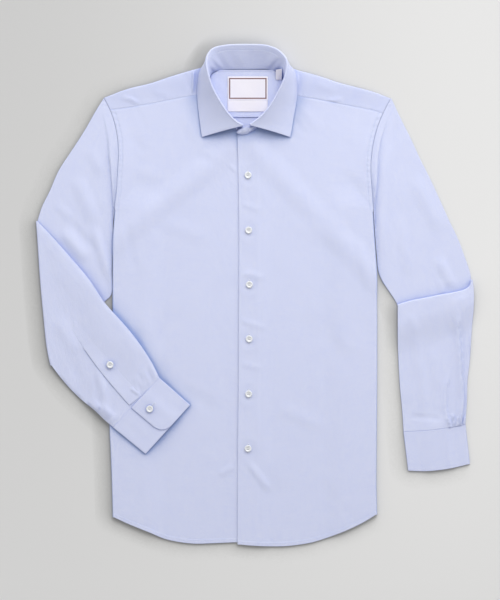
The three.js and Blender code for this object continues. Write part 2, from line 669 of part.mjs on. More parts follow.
const rightSleeve = sleeveGrid([
  {
    inner: planLine([[-229.6, 139], [-231.2, 122], [-232.2, 91.3], [-233.6, 42.4], [-234.2, 2],
      [-245.5, -10.3], [-285.2, -61.9], [-333.6, -114.0]]),
    outer: planLine([[-246.6, 322.5], [-259.5, 302], [-277.6, 270], [-298.6, 237.5],
      [-319.6, 205], [-334.6, 172.8], [-349.6, 144.3], [-357, 122]]),
    start: armholeLine("right"),
    end: rightCreaseLine,
    endTurn: viewLeft,
    rows: upperArmRows(230),
    level: 0,
    lift: upperArmLift("right"),
  },
  {
    inner: planLine([[-333.6, -114.0], [-321.1, -129.6], [-299.1, -153.2], [-282, -169.5],
      [-261, -186.3], [-244.5, -202.1], [-231.5, -213.0]]),
    outer: planLine([[-357, 122], [-334.1, 98.6], [-301.5, 63.6], [-272.2, 30.2], [-244.5, -10.3],
      [-223.3, -34.2], [-203.8, -56.2], [-184.2, -82.3], [-166.3, -110.8], [-155.7, -132.6]]),
    start: rightCreaseLine,
    end: rightCuffSeam,
    startTurn: viewLeft,
    rows: steps(0, 1, 12),
    level: 2,
    flip: true,
    lift: (x, y, column) =>
      rightForearmLift(x, y) + (column.q === 0 ? ridgeHeight("rightForearm", x, y) : 0),
  },
]);
addPiece("right_sleeve", wallFrom(rightSleeve, { ring: true }));

// The left sleeve folds back and forth once below the elbow, in a wedge widest at its inner side
const leftHiddenCrease = planLine([[240, -38], [277.1, -23], [317.8, -6], [355.2, 9]]);
const leftCreaseLine = planLine([[231, -13.5], [252.6, -7], [280.4, -1.6], [301.5, 2.8],
  [326, 8.1], [342.3, 13.9], [355, 22]]);
const leftCuffSeam = planLine([[241.7, -220.6], [268.9, -219.6], [301.5, -216.4], [326, -212.5],
  [343, -209.2]]);
const wedgeAt = (w) => leftHiddenCrease(w).distanceTo(leftCreaseLine(w));

const leftSleeve = sleeveGrid([
  {
    inner: planLine([[193.2, 139], [195.3, 104.3], [198.2, 66.8], [200.6, 40.8], [207, 24.4],
      [216.3, 9.8], [231, -13.5], [240, -38]]),
    outer: planLine([[222, 322.5], [236.3, 291.8], [253.5, 257.5], [270.1, 221.7], [286.6, 189.1],
      [301.5, 156.5], [316.2, 123.9], [331.7, 91.3], [343.8, 58.7], [351.8, 34.2], [355.2, 9]]),
    start: armholeLine("left"),
    end: leftHiddenCrease,
    endTurn: viewDown,
    rows: upperArmRows(300),
    level: 0,
    lift: upperArmLift("left"),
  },
  {
    inner: planLine([[240, -38], [235.5, -26], [231, -13.5]]),
    outer: planLine([[355.2, 9], [355.1, 15], [355, 22]]),
    start: leftHiddenCrease,
    end: leftCreaseLine,
    startTurn: viewDown,
    endTurn: viewUp,
    rows: [0, 1],
    level: 2,
    flip: true,
    lift: () => 0,
  },
  {
    inner: planLine([[231, -13.5], [231.5, -55.4], [233.3, -104.3], [236, -150], [239.4, -185.8],
      [241.7, -220.6]]),
    outer: planLine([[355, 22], [357, -1.6], [355.7, -26.1], [353.7, -55.4], [350.4, -101.1],
      [346.5, -136.9], [345.6, -169.5], [343, -209.2]]),
    start: leftCreaseLine,
    end: leftCuffSeam,
    startTurn: viewUp,
    rows: steps(0, 1, 12),
    level: 4,
    lift: (x, y, column, s) => {
      const run = s * leftCreaseLine(column.w).distanceTo(leftCuffSeam(column.w));
      const down = ease((run - wedgeAt(column.w) - 4) / 60);
      const ridge = column.q === 1 ? down * ridgeHeight("leftForearm", x, y) : 0;
      const ontoCuff = column.q === 1 ? layerPitch * ease((s - 0.85) / 0.15) * cuffHump(column.w) : 0;
      return -4 * layerPitch * down + ridge + ontoCuff;
    },
  },
]);
addPiece("left_sleeve", wallFrom(leftSleeve, { ring: true }));

// A cuff is a band round the wrist whose ends lap. Its lap shows on the right sleeve, and lies
// underneath on the left one. The layers count from the lowest.
function cuffHump(w) {
  return ease((w - 0.2) / 0.18) * ease((0.84 - w) / 0.18);
}

function cuffPath(layers) {
  const underlap = [0.62, 0.5, 0.36, 0.22, 0.1, 0].map((w) => ({ w, n: layers.underlap(w) }));
  const plain = [0, 0.12, 0.25, 0.38, 0.5, 0.62, 0.75, 0.88, 1].map((w) => ({ w, n: layers.plain(w) }));
  const overlap = [1, 0.9, 0.8, 0.7, 0.6, 0.53, 0.48, 0.44, 0.415, 0.4]
    .map((w) => ({ w, n: layers.overlap(w), round: true }));
  const turn = (before, after) => {
    const n = (before.n + after.n) / 2;
    return { w: before.w, edge: true, n, turn: Math.abs(after.n - before.n) };
  };
  return [...underlap, turn(underlap.at(-1), plain[0]), ...plain, turn(plain.at(-1), overlap[0]), ...overlap];
}

const cuffCorner = 0.22; // of the cuff's depth, taken off in a round corner
function cuffGrid({ seam, hem, layers, lift }) {
  const path = cuffPath(layers);
  return steps(0, 1, 5).map((r) => path.map(({ w, n, edge, turn, round }) => {
    const width = seam(0).distanceTo(seam(1));
    const inset = (clothWall / 2 + layerPitch / 2) / width;
    const reach = edge ? (turn * layerPitch) / 2 / width : 0;
    const across = w === 0 ? inset - reach : w === 1 ? 1 - inset + reach : w;
    const near = round ? clamp01((w - 0.4) / 0.14) : 1;
    const depth = 1 - cuffCorner * (1 - Math.sqrt(1 - (1 - near) ** 2));
    const p = seam(across).lerp(hem(across), r * depth);
    p.z = layer(n) + (cuffWall - clothWall) / 2 + lift(p.x, p.y);
    return p;
  }));
}

const bandLine = (from, to) => (w) => new THREE.Vector3(...from, 0).lerp(new THREE.Vector3(...to, 0), w);
const rightCuff = {
  seam: bandLine([-231.0, -213.8], [-155.2, -133.3]),
  hem: bandLine([-178.5, -256.7], [-105.9, -176.9]),
  layers: {
    underlap: () => 3,
    plain: () => 2,
    overlap: (w) => 3 + ease((0.86 - w) / 0.2),
  },
  lift: rightForearmLift,
};
addPiece("right_cuff", wallFrom(cuffGrid(rightCuff), { thickness: cuffWall }));

const leftCuff = {
  seam: (w) => leftCuffSeam(w).add(new THREE.Vector3(0, -0.8, 0)),
  hem: planLine([[249.4, -284.1], [277.1, -284.9], [301.5, -282.8], [326, -278.7], [350.1, -273]]),
  layers: {
    underlap: (w) => ease((w - 0.2) / 0.18),
    plain: (w) => 1 + cuffHump(w),
    overlap: () => 0,
  },
  lift: () => 0,
};
addPiece("left_cuff", wallFrom(cuffGrid(leftCuff), { thickness: cuffWall }));

// The placket band lies along the slit of the right sleeve and ends in a pointed tower
const placketFoot = new THREE.Vector2(-201.6, -180.2);
const placketTop = new THREE.Vector2(-297.5, -58);
const placketRun = placketTop.clone().sub(placketFoot);
const placketLength = placketRun.length();
const placketAlong = placketRun.clone().normalize();
const placketAcross = new THREE.Vector2(placketAlong.y, -placketAlong.x);
const towerHeight = 14;
const placketLift = (x, y) => layer(3) + rightForearmLift(x, y) + ridgeHeight("rightForearm", x, y);
function placketPoint(run, f, raise) {
  const bow = 3.2 * Math.sin(Math.PI * clamp01(run / placketLength));
  const p = placketFoot.clone().addScaledVector(placketAlong, run)
    .addScaledVector(placketAcross, f * placketWidth - bow);
  return new THREE.Vector3(p.x, p.y, placketLift(p.x, p.y) + raise);
}
const placketGrid = [...steps(4, placketLength - 8, 9), placketLength].map((run, i, all) =>
  [0, 0.25, 0.5, 0.75, 1].map((f) => {
    const tower = i === all.length - 1 ? towerHeight * (1 - Math.abs(2 * f - 1)) : 0;
    return placketPoint(run + tower, f, clothWall + 0.7);
  }));
addPiece("right_sleeve_placket", wallFrom(placketGrid));

// A four-hole button: a dished face with a raised rim
const wasm = await Module();
wasm.setup();

function toSolid(geometry) {
  const bare = geometry.clone();
  bare.deleteAttribute("normal");
  bare.deleteAttribute("uv");
  const merged = mergeVertices(bare, 1e-4);
  return new wasm.Manifold(new wasm.Mesh({
    numProp: 3,
    vertProperties: new Float32Array(merged.attributes.position.array),
    triVerts: new Uint32Array(merged.index.array),
  }));
}

function toGeometry(solid) {
  const mesh = solid.getMesh();
  const geometry = new THREE.BufferGeometry();
  geometry.setAttribute("position", new THREE.Float32BufferAttribute(mesh.vertProperties, 3));
  geometry.setIndex([...mesh.triVerts]);
  geometry.computeVertexNormals();
  return geometry;
}

function buttonGeometry() {
  const profile = [
    [0, 0], [buttonRadius * 0.86, 0], [buttonRadius, buttonHeight * 0.6],
    [buttonRadius * 0.88, buttonHeight],
    [buttonRadius * 0.62, buttonHeight * 0.62], [0, buttonHeight * 0.58],
  ].map(([r, h]) => new THREE.Vector2(r, h));
  let solid = toSolid(new THREE.LatheGeometry(profile, buttonSides).rotateX(Math.PI / 2));
  for (const [x, y] of [[1, 1], [1, -1], [-1, 1], [-1, -1]]) {
    const drill = new THREE.CylinderGeometry(holeRadius, holeRadius, 3 * buttonHeight, holeSides)
      .rotateX(Math.PI / 2).translate(x * 1.35, y * 1.35, 0);
    solid = solid.subtract(toSolid(drill));
  }
  return toGeometry(solid);
}
const oneButton = buttonGeometry();

function addButton(name, x, y, seatHeight) {
  const button = addPiece(name, oneButton, materials.button);
  button.position.set(x, y, seatHeight + clothWall / 2 + 0.3);
  return button;
}

const frontButtons = table("n x y", [
  [1, -11.4, 196.7], [2, -10.3, 107.1], [3, -9.3, 18.7], [4, -9.5, -69.8], [5, -10.3, -159.4],
  [6, -11.4, -248.2],
]);
for (let n = 1; n <= 6; n++) {
  const x = frontButtons.x(n);
  const y = frontButtons.y(n);
  addButton(`front_button_${n}`, x, y, frontHeight("left", x, y) + 0.1);
}
addButton("placket_button", -235.5, -111.7, placketLift(-235.5, -111.7) + clothWall + 0.9);
addButton("cuff_button", -171.1, -183.4, layer(4) + rightForearmLift(-171.1, -183.4) + 0.5);

// The origin is the middle of the shirt's own box, on the surface that it lies on
const extent = new THREE.Box3().setFromObject(shirt);
const centre = extent.getCenter(new THREE.Vector3());
shirt.position.set(-centre.x, -centre.y, -extent.min.z);

export default shirt;
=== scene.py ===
import math

import bpy
import numpy as np
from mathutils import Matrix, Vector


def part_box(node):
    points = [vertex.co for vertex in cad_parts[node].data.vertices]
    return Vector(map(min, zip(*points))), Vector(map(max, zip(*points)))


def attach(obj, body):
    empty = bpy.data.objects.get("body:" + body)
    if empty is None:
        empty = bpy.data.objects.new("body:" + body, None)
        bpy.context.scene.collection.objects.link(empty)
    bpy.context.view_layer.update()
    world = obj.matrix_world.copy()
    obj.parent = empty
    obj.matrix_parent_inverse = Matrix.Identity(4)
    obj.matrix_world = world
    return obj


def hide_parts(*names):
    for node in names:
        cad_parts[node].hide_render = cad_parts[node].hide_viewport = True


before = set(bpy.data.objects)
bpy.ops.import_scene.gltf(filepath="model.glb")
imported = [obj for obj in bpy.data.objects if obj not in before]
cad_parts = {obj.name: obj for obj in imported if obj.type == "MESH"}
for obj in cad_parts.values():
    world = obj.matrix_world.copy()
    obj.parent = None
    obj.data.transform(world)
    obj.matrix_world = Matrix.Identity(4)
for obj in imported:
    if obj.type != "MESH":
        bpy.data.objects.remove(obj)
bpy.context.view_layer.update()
print("frame loaded:", len(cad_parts), "nodes")

# A long sleeve dress shirt, buttoned and laid flat face up. +Y runs from hem to collar, right and
# left are the wearer's. The tables are in millimetres, and the first button ties them to the frame.
mm = 0.001
tie = {"node": "front_button_1", "x": -11.4, "y": 196.7}
tieLow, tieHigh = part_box(tie["node"])
shift = np.array([(tieLow.x + tieHigh.x) / 2 - tie["x"] * mm,
                  (tieLow.y + tieHigh.y) / 2 - tie["y"] * mm, 0.0])

cloth = {
    "wall": 1.0,  # of the solids, which sets how the layers stack
    "pitch": 1.4,  # from the middle of one layer to the middle of the next
    "shell": 0.55,  # the cloth that is seen
    "seamGap": 0.4,
    "fine": 0.9,  # cell along seams and edges
    "plain": 2.7,  # cell on the open cloth
    "hidden": 7.0,  # cell where the cloth lies under the shirt
}


# Numbers and curves

def ease(t):
    t = np.clip(t, 0.0, 1.0)
    return t * t * (3 - 2 * t)


def mix(a, b, t):
    return a + (b - a) * t


def layer(n):
    return cloth["wall"] / 2 + cloth["pitch"] * n


def unit(v):
    return v / np.maximum(np.linalg.norm(v, axis=-1, keepdims=True), 1e-12)


def spaced(*stops):  # value, step, value, step, value: even steps between each two values
    out = [float(stops[0])]
    for start, step, end in zip(stops[0::2], stops[1::2], stops[2::2]):
        count = max(1, round(abs(end - start) / step))
        out.extend(start + (end - start) * k / count for k in range(1, count + 1))
    return np.array(out)


def halfTurn(count):  # angles inside a half turn, without its ends
    return np.linspace(0, math.pi, count + 2)[1:-1]


def raised(plan, z):  # x and y with their heights
    return np.concatenate([plan, z[..., None]], -1)


def readTable(columns, rows):  # each column as a smooth function of the first
    data = np.array(rows, float)
    at = data[:, 0]
    place = np.arange(len(at))
    before, after = np.maximum(place - 1, 0), np.minimum(place + 1, len(at) - 1)

    def reader(values):
        slope = (values[after] - values[before]) / (at[after] - at[before])

        def read(x):
            x = np.asarray(x, float)
            i = np.clip(np.searchsorted(at, x, side="right") - 1, 0, len(at) - 2)
            span = at[i + 1] - at[i]
            t = np.clip((x - at[i]) / span, 0, 1)
            chord = (values[i + 1] - values[i]) / span
            bend = (1 - t) * (slope[i] - chord) + t * (chord - slope[i + 1])
            return mix(values[i], values[i + 1], t) + t * (1 - t) * span * bend

        return read

    return {name: reader(data[:, c]) for c, name in enumerate(columns.split()) if c}


def throughPoints(points, steps=16):  # a smooth line through points of any dimension
    p = np.array(points, float)
    ends = np.vstack([2 * p[0] - p[1], p, 2 * p[-1] - p[-2]])
    u = np.linspace(0, 1, steps, endpoint=False)[:, None]
    parts = []
    for a, b, c, d in zip(ends[:-3], ends[1:-2], ends[2:-1], ends[3:]):
        ab, bc, cd = (np.linalg.norm(q) ** 0.5 for q in (b - a, c - b, d - c))
        t1 = ((b - a) / ab - (c - a) / (ab + bc) + (c - b) / bc) * bc
        t2 = ((c - b) / bc - (d - b) / (bc + cd) + (d - c) / cd) * bc
        parts.append(b + t1 * u + (3 * c - 3 * b - 2 * t1 - t2) * u**2 + (2 * b - 2 * c + t1 + t2) * u**3)
    return np.vstack([*parts, p[-1:]])


def lengthsAlong(line):  # from its first point to each
    return np.concatenate([[0], np.cumsum(np.linalg.norm(np.diff(line, axis=0), axis=1))])


def readAlong(at, run, line):  # its columns at places along it, where run is its lengths
    return np.stack([np.interp(at, run, column) for column in line.T], -1)


def planLine(points):  # seen from above, read by its share of length
    line = throughPoints(points, 24)
    run = lengthsAlong(line)
    run /= run[-1]
    return lambda t: readAlong(t, run, line)


def nearLine(points, x, y):  # share of the length, distance, and which side, for each place
    p = np.array(points, float)
    lengths = np.linalg.norm(np.diff(p, axis=0), axis=1)
    runs = lengthsAlong(p)
    best, along, side = np.full(x.shape, 1e9), np.zeros(x.shape), np.zeros(x.shape)
    for k, (a, b) in enumerate(zip(p[:-1], p[1:])):
        d = (b - a) / lengths[k]
        t = (x - a[0]) * d[0] + (y - a[1]) * d[1]
        t = np.clip(t, -1e3 if k == 0 else 0, 1e3 if k == len(lengths) - 1 else lengths[k])
        dx, dy = x - a[0] - t * d[0], y - a[1] - t * d[1]
        far = np.hypot(dx, dy)
        nearer = far < best
        best = np.where(nearer, far, best)
        along = np.where(nearer, (runs[k] + t) / runs[-1], along)
        side = np.where(nearer, d[0] * dy - d[1] * dx, side)
    return along, best, side


def creased(rows, x, y):  # soft ridges and troughs: points, half width, height
    total = np.zeros(np.shape(x))
    for points, width, height in rows:
        along, far, _ = nearLine(points, x, y)
        total += height * ease((along + 0.15) / 0.4) * ease((1.15 - along) / 0.4) * ease(1 - far / width)
    return total


def pleated(rows, x, y):  # folds with one sharp edge, to the left of the way their points run
    total = np.zeros(np.shape(x))
    for points, width, height in rows:
        along, far, side = nearLine(points, x, y)
        reach = np.where(side > 0, 1.3, width)
        total += height * ease((along + 0.1) / 0.3) * ease((1.12 - along) / 0.25) * ease(1 - far / reach)
    return total


def faintCreases(seed, count, box, lean, height):  # the slight unevenness of pressed cotton
    rng = np.random.default_rng(seed)
    rows = []
    for _ in range(count):
        x, y = rng.uniform(box[0], box[2]), rng.uniform(box[1], box[3])
        angle = math.radians(rng.normal(lean, 32))
        half = rng.uniform(14, 55)
        dx, dy = half * math.cos(angle), half * math.sin(angle)
        rows.append(([(x - dx, y - dy), (x + dx, y + dy)], rng.uniform(9, 24), rng.uniform(-height, height)))
    return rows


# Meshes

def cellsOf(rows, columns, ring=False, keep=None):
    i, j = np.meshgrid(np.arange(rows - 1), np.arange(columns if ring else columns - 1), indexing="ij")
    after = (j + 1) % columns
    corners = [i * columns + j, i * columns + after, (i + 1) * columns + after, (i + 1) * columns + j]
    cells = np.stack(corners, -1)
    return cells.reshape(-1, 4) if keep is None else cells[keep]


def normalsOf(points, cells):
    a, b, c, d = (points[cells[:, k]] for k in range(4))
    facing = unit(np.cross(c - a, d - b))
    normals = np.zeros_like(points)
    for k in range(4):
        np.add.at(normals, cells[:, k], facing)
    return unit(normals)


def runAlong(grid, axis):  # distance travelled along one way of a grid
    step = np.linalg.norm(np.diff(grid, axis=axis), axis=2)
    zero = np.zeros_like(step[:1] if axis == 0 else step[:, :1])
    return np.cumsum(np.concatenate([zero, step], axis=axis), axis=axis)


def addObject(name, data):
    thing = bpy.data.objects.new(name, data)
    bpy.context.scene.collection.objects.link(thing)
    return thing


def newObject(name, points, faces, material, weave=None):
    mesh = bpy.data.meshes.new(name)
    mesh.from_pydata(points.tolist(), [], faces)
    if weave is not None:
        layerUv = mesh.uv_layers.new(name="weave")
        corner = np.zeros(len(mesh.loops), np.int32)
        mesh.loops.foreach_get("vertex_index", corner)
        layerUv.data.foreach_set("uv", weave[corner].astype(np.float32).ravel())
    mesh.shade_smooth()
    mesh.materials.append(material)
    return addObject(name, mesh)


def joined(parts):  # several meshes, each as points and faces, make one
    points, faces, count = [], [], 0
    for somePoints, someFaces in parts:
        points.append(somePoints)
        faces += [tuple(v + count for v in face) for face in someFaces]
        count += len(somePoints)
    return np.concatenate(points), faces


# A grid of points in the middle of the cloth becomes a closed shell with round edges
def clothPiece(name, grid, material, thickness=None, ring=False, keep=None, rim=1, anchor=None):
    thickness = thickness or cloth["shell"]
    rows, columns = grid.shape[:2]
    cells = cellsOf(rows, columns, ring, keep)
    points = grid.reshape(-1, 3)
    size = len(points)
    normals = normalsOf(points, cells)
    starts, ends = cells.ravel(), np.roll(cells, -1, axis=1).ravel()
    free = ~np.isin(starts * size + ends, ends * size + starts)
    a, b = starts[free], ends[free]
    out = np.zeros_like(points)
    across = unit(np.cross(points[b] - points[a], normals[a]))
    np.add.at(out, a, across)
    np.add.at(out, b, across)
    out = unit(out)
    angles = np.linspace(0, math.pi, rim + 2)
    skins = [points + thickness / 2 * (math.cos(q) * normals + math.sin(q) * out) for q in angles]
    last = len(skins) - 1
    faces = [cells, cells[:, ::-1] + last * size]
    for k in range(last):
        faces.append(np.stack([b + k * size, a + k * size, a + (k + 1) * size, b + (k + 1) * size], 1))
    faces = np.concatenate(faces)
    used, corners = np.unique(faces, return_inverse=True)
    first = columns // 2 if anchor is None else anchor
    across, down = runAlong(grid, 1), runAlong(grid, 0)
    start = slice(first, first + 1)
    weave = np.stack([across - across[:, start], np.repeat(down[:, start], columns, 1)], -1)
    weave = np.tile(weave.reshape(-1, 2), (len(skins), 1))[used]
    placed = np.concatenate(skins)[used] * mm + shift
    piece = newObject(name + "_cloth", placed, corners.reshape(-1, 4).tolist(), material, weave)
    area = np.linalg.norm(np.cross(points[cells[:, 2]] - points[cells[:, 0]],
                                   points[cells[:, 3]] - points[cells[:, 1]]), axis=1).sum() / 2
    print(f"  {name}: {2 * len(faces)} triangles, {across[:, -1].max():.0f} by {down[-1].max():.0f}, "
          f"{area * 1e-6:.4f} square metres")
    settle(piece, name)
    return np.concatenate([grid, normals.reshape(grid.shape)], 2)


def settle(piece, node=None):
    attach(piece, "root")
    if node:
        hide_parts(node)


# Sewing: a row of stitches is one thread mesh, gathered until the end

threads = {"seam": [], "label": [], "button": []}
sewing = {
    "pitch": 2.3,  # eleven stitches to the inch
    "length": 1.75,
    "halfWidth": 0.2,
    "halfHeight": 0.16,
    "hemIn": 5.2,  # up from the hem
}


def lineIn(surface, edge, distance, cut=(0, 0)):  # runs a distance in from one edge of a grid
    turned = surface if edge in ("bottom", "top") else surface.transpose(1, 0, 2)
    turned = turned[::-1] if edge in ("top", "end") else turned
    run = runAlong(turned[..., :3], 0)
    line = np.stack([[np.interp(distance, run[:, j], turned[:, j, k]) for k in range(6)]
                     for j in range(turned.shape[1])])
    along = lengthsAlong(line[:, :3])
    return line[(along >= cut[0]) & (along <= along[-1] - cut[1])]


def stitch(line, kind="seam", pitch=None, length=None, halfWidth=None, lift=None, upward=False):
    pitch = pitch or sewing["pitch"]
    length = length or sewing["length"]
    halfWidth = halfWidth or sewing["halfWidth"]
    lift = cloth["shell"] / 2 if lift is None else lift
    run = lengthsAlong(line[:, :3])
    count = int(run[-1] // pitch)
    if count < 1:
        return
    middle = (np.arange(count) + 0.5) * pitch + (run[-1] - count * pitch) / 2
    here, ahead, behind = (readAlong(middle + s * length, run, line) for s in (0, 0.5, -0.5))
    along = unit(ahead[:, :3] - behind[:, :3])
    normal = unit(here[:, 3:])
    if upward:
        normal = np.where(normal[:, 2:] < 0, -normal, normal)
    side = np.cross(normal, along)
    centre = here[:, :3] + normal * lift
    high, low = sewing["halfHeight"], -sewing["halfHeight"]
    shape = [(-0.5, 0, low)] + [(x, y, z) for x in (-0.3, 0.3) for y, z in
                                ((halfWidth, 0), (0, high), (-halfWidth, 0), (0, low))] + [(0.5, 0, low)]
    parts = [centre + along * (x * length) + side * y + normal * z for x, y, z in shape]
    threads[kind].append(np.stack(parts, 1))


def sew(name, kind, material):
    points = np.concatenate(threads[kind])
    count = len(points)
    sides = [(k, (k + 1) % 4) for k in range(4)]
    oneFaces = [(1 + k, 1 + after, 5 + after, 5 + k) for k, after in sides]
    oneFaces += [(0, 1 + after, 1 + k) for k, after in sides] + [(9, 5 + k, 5 + after) for k, after in sides]
    faces = [tuple(10 * n + v for v in face) for n in range(count) for face in oneFaces]
    piece = newObject(name, points.reshape(-1, 3) * mm + shift, faces, material)
    print(f"  {name}: {count} stitches")
    settle(piece)


# Finishes

finish = {
    "yarnWhite": (0.775, 0.795, 0.90),
    "yarnBlue": (0.435, 0.495, 0.80),
    "yarnPitch": 0.34,  # millimetres between the threads
    "contrast": 0.8,  # of the two yarns
    "slubs": 0.35,
    "roughness": 0.86,
    "specular": 0.3,
    "sheen": 0.12,
    "sheenRoughness": 0.45,
    "paintedShades": {  # painted shade where cloth stands close round, and painted shadows on the table: the colour white turns to where fully shaded, how far round it looks, how sharply
        "sleeve": ((0.60, 0.67, 0.86), 0.018, 2.6),
        "front": ((0.50, 0.60, 0.78), 0.028, 12.0),
        "collar": ((0.28, 0.38, 0.70), 0.018, 1.7),
        "neck": ((0.80, 0.84, 0.96), 0.010, 1.0),
        "floor": ((0.66, 0.66, 0.65), 0.030, 8.0),
    },
    "shadeFreeBand": (-0.020, 0.016, 0.034),  # round the buttons the fronts lie close, and the painted shade is held off there
    "shadeFreeTop": (0.225, 0.262),
    "paintedShadowsTowards": (0.80, 0.42, 0.43),  # the painted shadows on the table lie on the far side from this
    "threadColour": (0.74, 0.77, 0.88),
    "labelColour": (0.88, 0.85, 0.915),
    "labelRib": 0.3,
    "borderColour": (0.19, 0.085, 0.08),
    "borderBlur": 0.12,
    "pearl": (0.83, 0.82, 0.80),
    "pearlCool": (0.7138, 0.7626, 0.832),
    "floor": (0.635, 0.635, 0.635),
    "floorRight": (0.765, 0.765, 0.765),  # painted light: the table pales to the right
    "floorRightFrom": (-0.38, 0.42),
    "floorRightAlong": (-0.5, 0.05, 0.35),  # less so at the near end
    "floorFar": (-0.47, 0.47, 1.10, 0.87),  # and painted shade darkens it away from the hem
}


class Nodes:  # those of a material or of the sky
    def __init__(self, owner):
        owner.use_nodes = True
        self.owner, self.tree = owner, owner.node_tree
        self.shader = next(n for n in self.tree.nodes if n.type in ("BSDF_PRINCIPLED", "BACKGROUND"))

    def add(self, kind, inputs=(), **settings):
        node = self.tree.nodes.new("ShaderNode" + kind)
        for name, value in settings.items():
            setattr(node, name, value)
        for name, value in dict(inputs).items():
            self.put(value, node.inputs[name])
        return node

    def put(self, value, socket):
        if isinstance(value, bpy.types.NodeSocket):
            self.tree.links.new(value, socket)
        else:
            socket.default_value = value

    def shade(self, values):
        for name, value in values.items():
            self.put(value, self.shader.inputs[name])

    def parts(self, place):  # its x, y and z
        return self.add("SeparateXYZ", {0: place}).outputs

    def math(self, operation, a, b=0.0):
        return self.add("Math", {0: a, 1: b}, operation=operation).outputs[0]

    def ribs(self, value, pitch):
        return self.math("ABSOLUTE", self.math("SINE", self.math("MULTIPLY", value, math.pi / pitch)))

    def ramp(self, value, start, end, first=0.0, last=1.0, smooth=True):
        node = self.add("MapRange", {0: value, 1: start, 2: end, 3: first, 4: last})
        node.interpolation_type = "SMOOTHSTEP" if smooth else "LINEAR"
        return node.outputs[0]

    def blend(self, share, a, b, **settings):
        node = self.add("Mix", data_type="RGBA", **settings)
        self.put(share, node.inputs["Factor"])
        for value, socket in ((a, "A"), (b, "B")):
            self.put(value if isinstance(value, bpy.types.NodeSocket) else (*value, 1), node.inputs[socket])
        return node.outputs["Result"]

    def times(self, a, b):
        return self.blend(1.0, a, b, blend_type="MULTIPLY")

    def paintedShade(self, kind):  # painted shade: white in the open, a deep colour where cloth stands close round
        colour, width, power = finish["paintedShades"][kind]
        near = self.add("AmbientOcclusion", {"Distance": width}, samples=8)
        # on the table the painted shadow looks one way only
        if kind == "floor":
            towards = self.add("CombineXYZ", dict(enumerate(finish["paintedShadowsTowards"])))
            self.put(towards.outputs[0], near.inputs["Normal"])
        bare = self.math("POWER", near.outputs["AO"], power)
        # along the front edge and round the buttons the painted shade is held off
        if kind == "front":
            bare = self.math("MAXIMUM", bare, self.shadeFree())
        return self.blend(bare, colour, (1, 1, 1))

    def shadeFree(self):  # how much painted shade is held off: near 1 along the buttons, 0 under the collar and away from them
        x, y, _ = self.parts(self.add("TexCoord").outputs["Object"])
        middle, inner, outer = finish["shadeFreeBand"]
        off = self.math("ABSOLUTE", self.math("SUBTRACT", x, middle))
        return self.math("MULTIPLY", self.ramp(off, inner, outer, 0.95, 0.0),
                         self.ramp(y, *finish["shadeFreeTop"], 1.0, 0.0))

    def noise(self, place, scale, detail=2.0, stretch=(1, 1, 1)):
        mapped = self.add("Mapping", {"Vector": place, "Scale": stretch}).outputs[0]
        return self.add("TexNoise", {"Vector": mapped, "Scale": scale, "Detail": detail}).outputs["Fac"]

    def bump(self, height, distance, strength, under=None):
        node = self.add("Bump", {"Height": height, "Distance": distance, "Strength": strength})
        if under is not None:
            self.put(under, node.inputs["Normal"])
        return node.outputs["Normal"]


# Plain woven cotton: white yarn one way, blue the other, with slight slubs both ways, and painted shade where
# cloth stands close round
def wovenCotton(name, paintedShade, blueShare=0.5, wave=1.0):
    n = Nodes(bpy.data.materials.new(name))
    place = n.add("UVMap", uv_map="weave").outputs[0]
    warp, weft = (n.ribs(part, finish["yarnPitch"]) for part in n.parts(place)[:2])
    over = n.add("TexChecker", {"Vector": place, "Scale": 1 / finish["yarnPitch"],
                                "Color1": (1, 1, 1, 1), "Color2": (0, 0, 0, 1)}).outputs["Fac"]
    higher = n.add("Mix", {0: over, 2: warp, 3: weft}, data_type="FLOAT").outputs[0]
    slubs = (n.noise(place, 1.0, 3.0, (1.3, 0.03, 1)), n.noise(place, 1.0, 3.0, (0.03, 1.1, 1)))
    uneven = n.math("MULTIPLY", n.math("SUBTRACT", n.math("ADD", *slubs), 1.0), finish["slubs"])
    share = n.math("ADD", n.math("MULTIPLY", over, finish["contrast"]), uneven)
    share = n.math("ADD", share, blueShare - finish["contrast"] / 2)
    puckered = n.bump(n.noise(place, 0.05, 3.0), 0.0011 * wave, 0.35)
    fuzz = n.bump(n.noise(place, 0.9, 4.0), 0.00012, 0.4, puckered)
    n.shade({
        "Base Color": n.times(n.blend(share, finish["yarnWhite"], finish["yarnBlue"]), n.paintedShade(paintedShade)),
        "Normal": n.bump(higher, 0.00006, 0.45, fuzz),
        "Roughness": finish["roughness"], "Specular IOR Level": finish["specular"],
        "Sheen Weight": finish["sheen"], "Sheen Roughness": finish["sheenRoughness"],
    })
    return n.owner


def sewingThread(name, colour, roughness=0.6):
    n = Nodes(bpy.data.materials.new(name))
    place = n.add("TexCoord").outputs["Object"]
    n.shade({
        "Base Color": n.blend(n.noise(place, 900.0, 2.0), colour, tuple(0.82 * c for c in colour)),
        "Normal": n.bump(n.noise(place, 2600.0, 1.0), 0.00005, 0.5),
        "Roughness": roughness, "Sheen Weight": 0.3,
    })
    return n.owner


